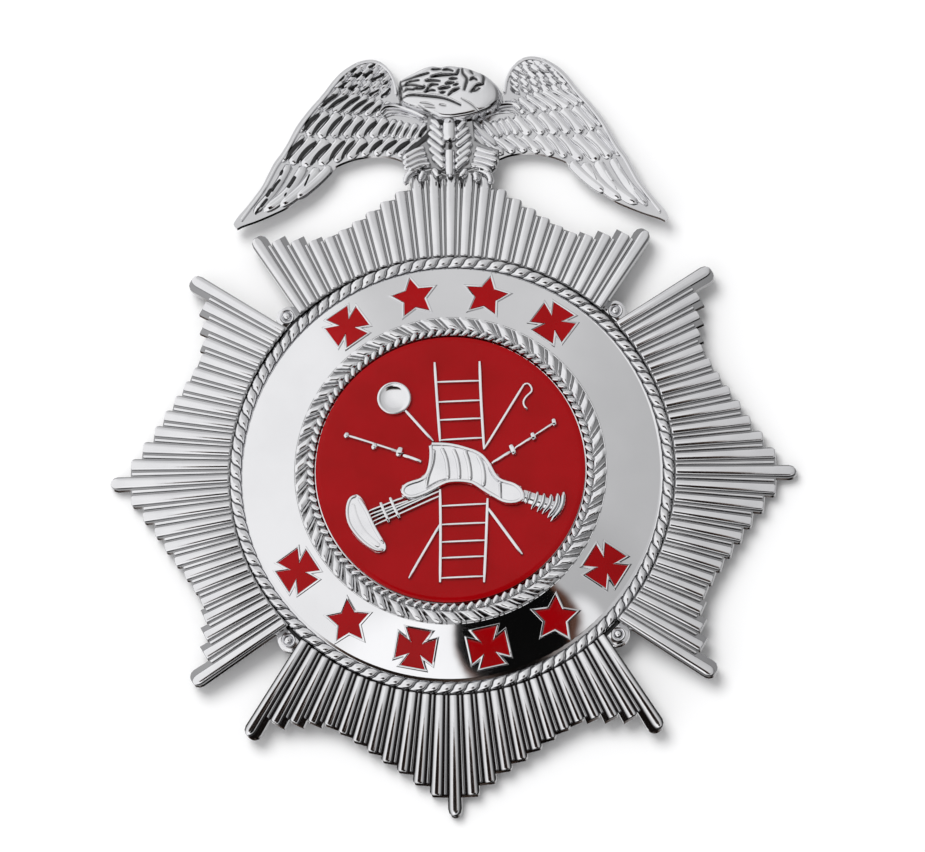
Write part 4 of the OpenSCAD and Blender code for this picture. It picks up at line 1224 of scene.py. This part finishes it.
# painted shade on the plate, dark between the breast's strokes
body_parts = [plate(spots(body_px, 2.0), 1.1, 2.1, 0.1, shade=0.6)]
BREAST_Z, NECK_Z, CLAW_Z = 2.9, 2.3, 3.2
steep = dict(ends=(0.3, 0.4), runs=10, sides=10, sink=0.4, power=3.0)
body_parts += strokes([((449, 118, 449, 130, 449.5, 141), 0.8)], BREAST_Z, 0.5, body_top, **steep)
body_parts += strokes([((449.5, 148, 449.5, 160, 450, 176), 0.55)], BREAST_Z, 0.45, body_top, **steep)
breast = (
    ((430, 118, 436, 122, 441, 128), 0.34), ((429, 124, 437, 130, 444, 137), 0.34),
    ((428, 131, 437, 138, 445, 145), 0.35), ((427, 139, 436, 146, 444, 152), 0.35),
    ((429, 147, 437, 154, 445, 161), 0.34), ((432, 156, 438, 161, 445, 168), 0.34),
    ((466, 119, 461, 124, 457, 130), 0.34), ((469, 126, 462, 132, 455, 138), 0.34),
    ((471, 133, 463, 140, 455, 146), 0.35), ((472, 141, 464, 148, 456, 154), 0.35),
    ((471, 149, 463, 155, 455, 162), 0.34), ((469, 157, 462, 162, 455, 169), 0.34))
thighs = (
    ((425, 147, 415, 151, 403, 158), 0.35), ((427, 153, 416, 156, 403, 163), 0.35),
    ((429, 159, 418, 161, 404, 168), 0.34), ((431, 164, 420, 165, 408, 171), 0.3),
    ((475, 147, 486, 151, 498, 154), 0.35), ((473, 153, 485, 156, 498, 160), 0.35),
    ((472, 159, 483, 161, 496, 166), 0.34), ((470, 164, 481, 166, 491, 171), 0.3))
body_parts += strokes(breast + thighs, BREAST_Z, 0.46, body_top, **steep)

# Beside the neck one side sweeps down in long smooth feathers; on the other a long slit is a low stroke in
# painted shade
sweeps = (((462, 119, 472, 131, 486, 146), 0.34), ((471, 118, 482, 131, 497, 145), 0.36),
    ((483, 118, 491, 127, 500, 137), 0.3))
body_parts += strokes(sweeps, NECK_Z, 0.3, over_wing(0.25), lean=0.4, ends=(0.3, 0.9), runs=10, sides=12,
                      sink=0.4, foot=0.4)
# painted shade: a long slit beside the neck, a line under the head and a gap in the breast, as dark low strokes
for flat, half, z in (((433, 127, 424, 138, 404, 154), 0.36, 2.16),
                      ((432, 120, 447, 122.5, 463, 120), 0.16, 2.55),
                      ((451, 142, 449, 149), 0.3, 2.6)):
    body_parts += strokes([(flat, half)], 2.6, 0.12, z, ends=(0.7, 1.1), runs=10, sides=8, sink=0.3, deep=0.95,
                          foot=0.9)

claws = ((421, 167, 412, 170, 406, 176, 405, 183), (424, 169, 421, 175, 420.5, 180),
    (432, 167, 436, 172, 440, 176), (477, 168, 486, 171, 490, 177, 490, 183),
    (474, 170, 476, 176, 477, 180), (466, 167, 463, 172, 459, 176))
body_parts += strokes([(flat, 0.34) for flat in claws], CLAW_Z, 0.4, 2.6, ends=(0.4, 0.4), runs=8, sides=10,
                      sink=0.6, power=3.0)
# painted shade: dark spots between the claws
dots = (((419, 169, 417, 172), 0.2), ((440, 170, 438, 174), 0.2), ((436, 176, 439, 178), 0.18),
    ((461, 176, 458, 179), 0.18), ((479, 168, 484, 169.5), 0.18))
body_parts += strokes(dots, CLAW_Z, 0.1, 2.92, ends=(0.2, 0.2), runs=4, sides=8, sink=0.3, deep=0.95, foot=0.9)

wings = wing_parts + shaded_slits + [mirrored(part) for part in wing_parts] + lit_slits
eagle = piece("eagle_relief", wings + [head_part] + body_parts, CHROME, smooth=50)
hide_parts("eagle")

# %% [markdown]
# ## The pin
#
# The pin clasp lies hidden at the back. It keeps its CAD shape and gets a plain drawn-steel
# finish, because nothing of it shows from the front.

# %% The pin's finish
pin = bpy.data.objects["pin_clasp"]
for holder in pin.material_slots:
    holder.material = STEEL
print("pin_clasp: %d material slots in %s" % (len(pin.material_slots), STEEL.name))
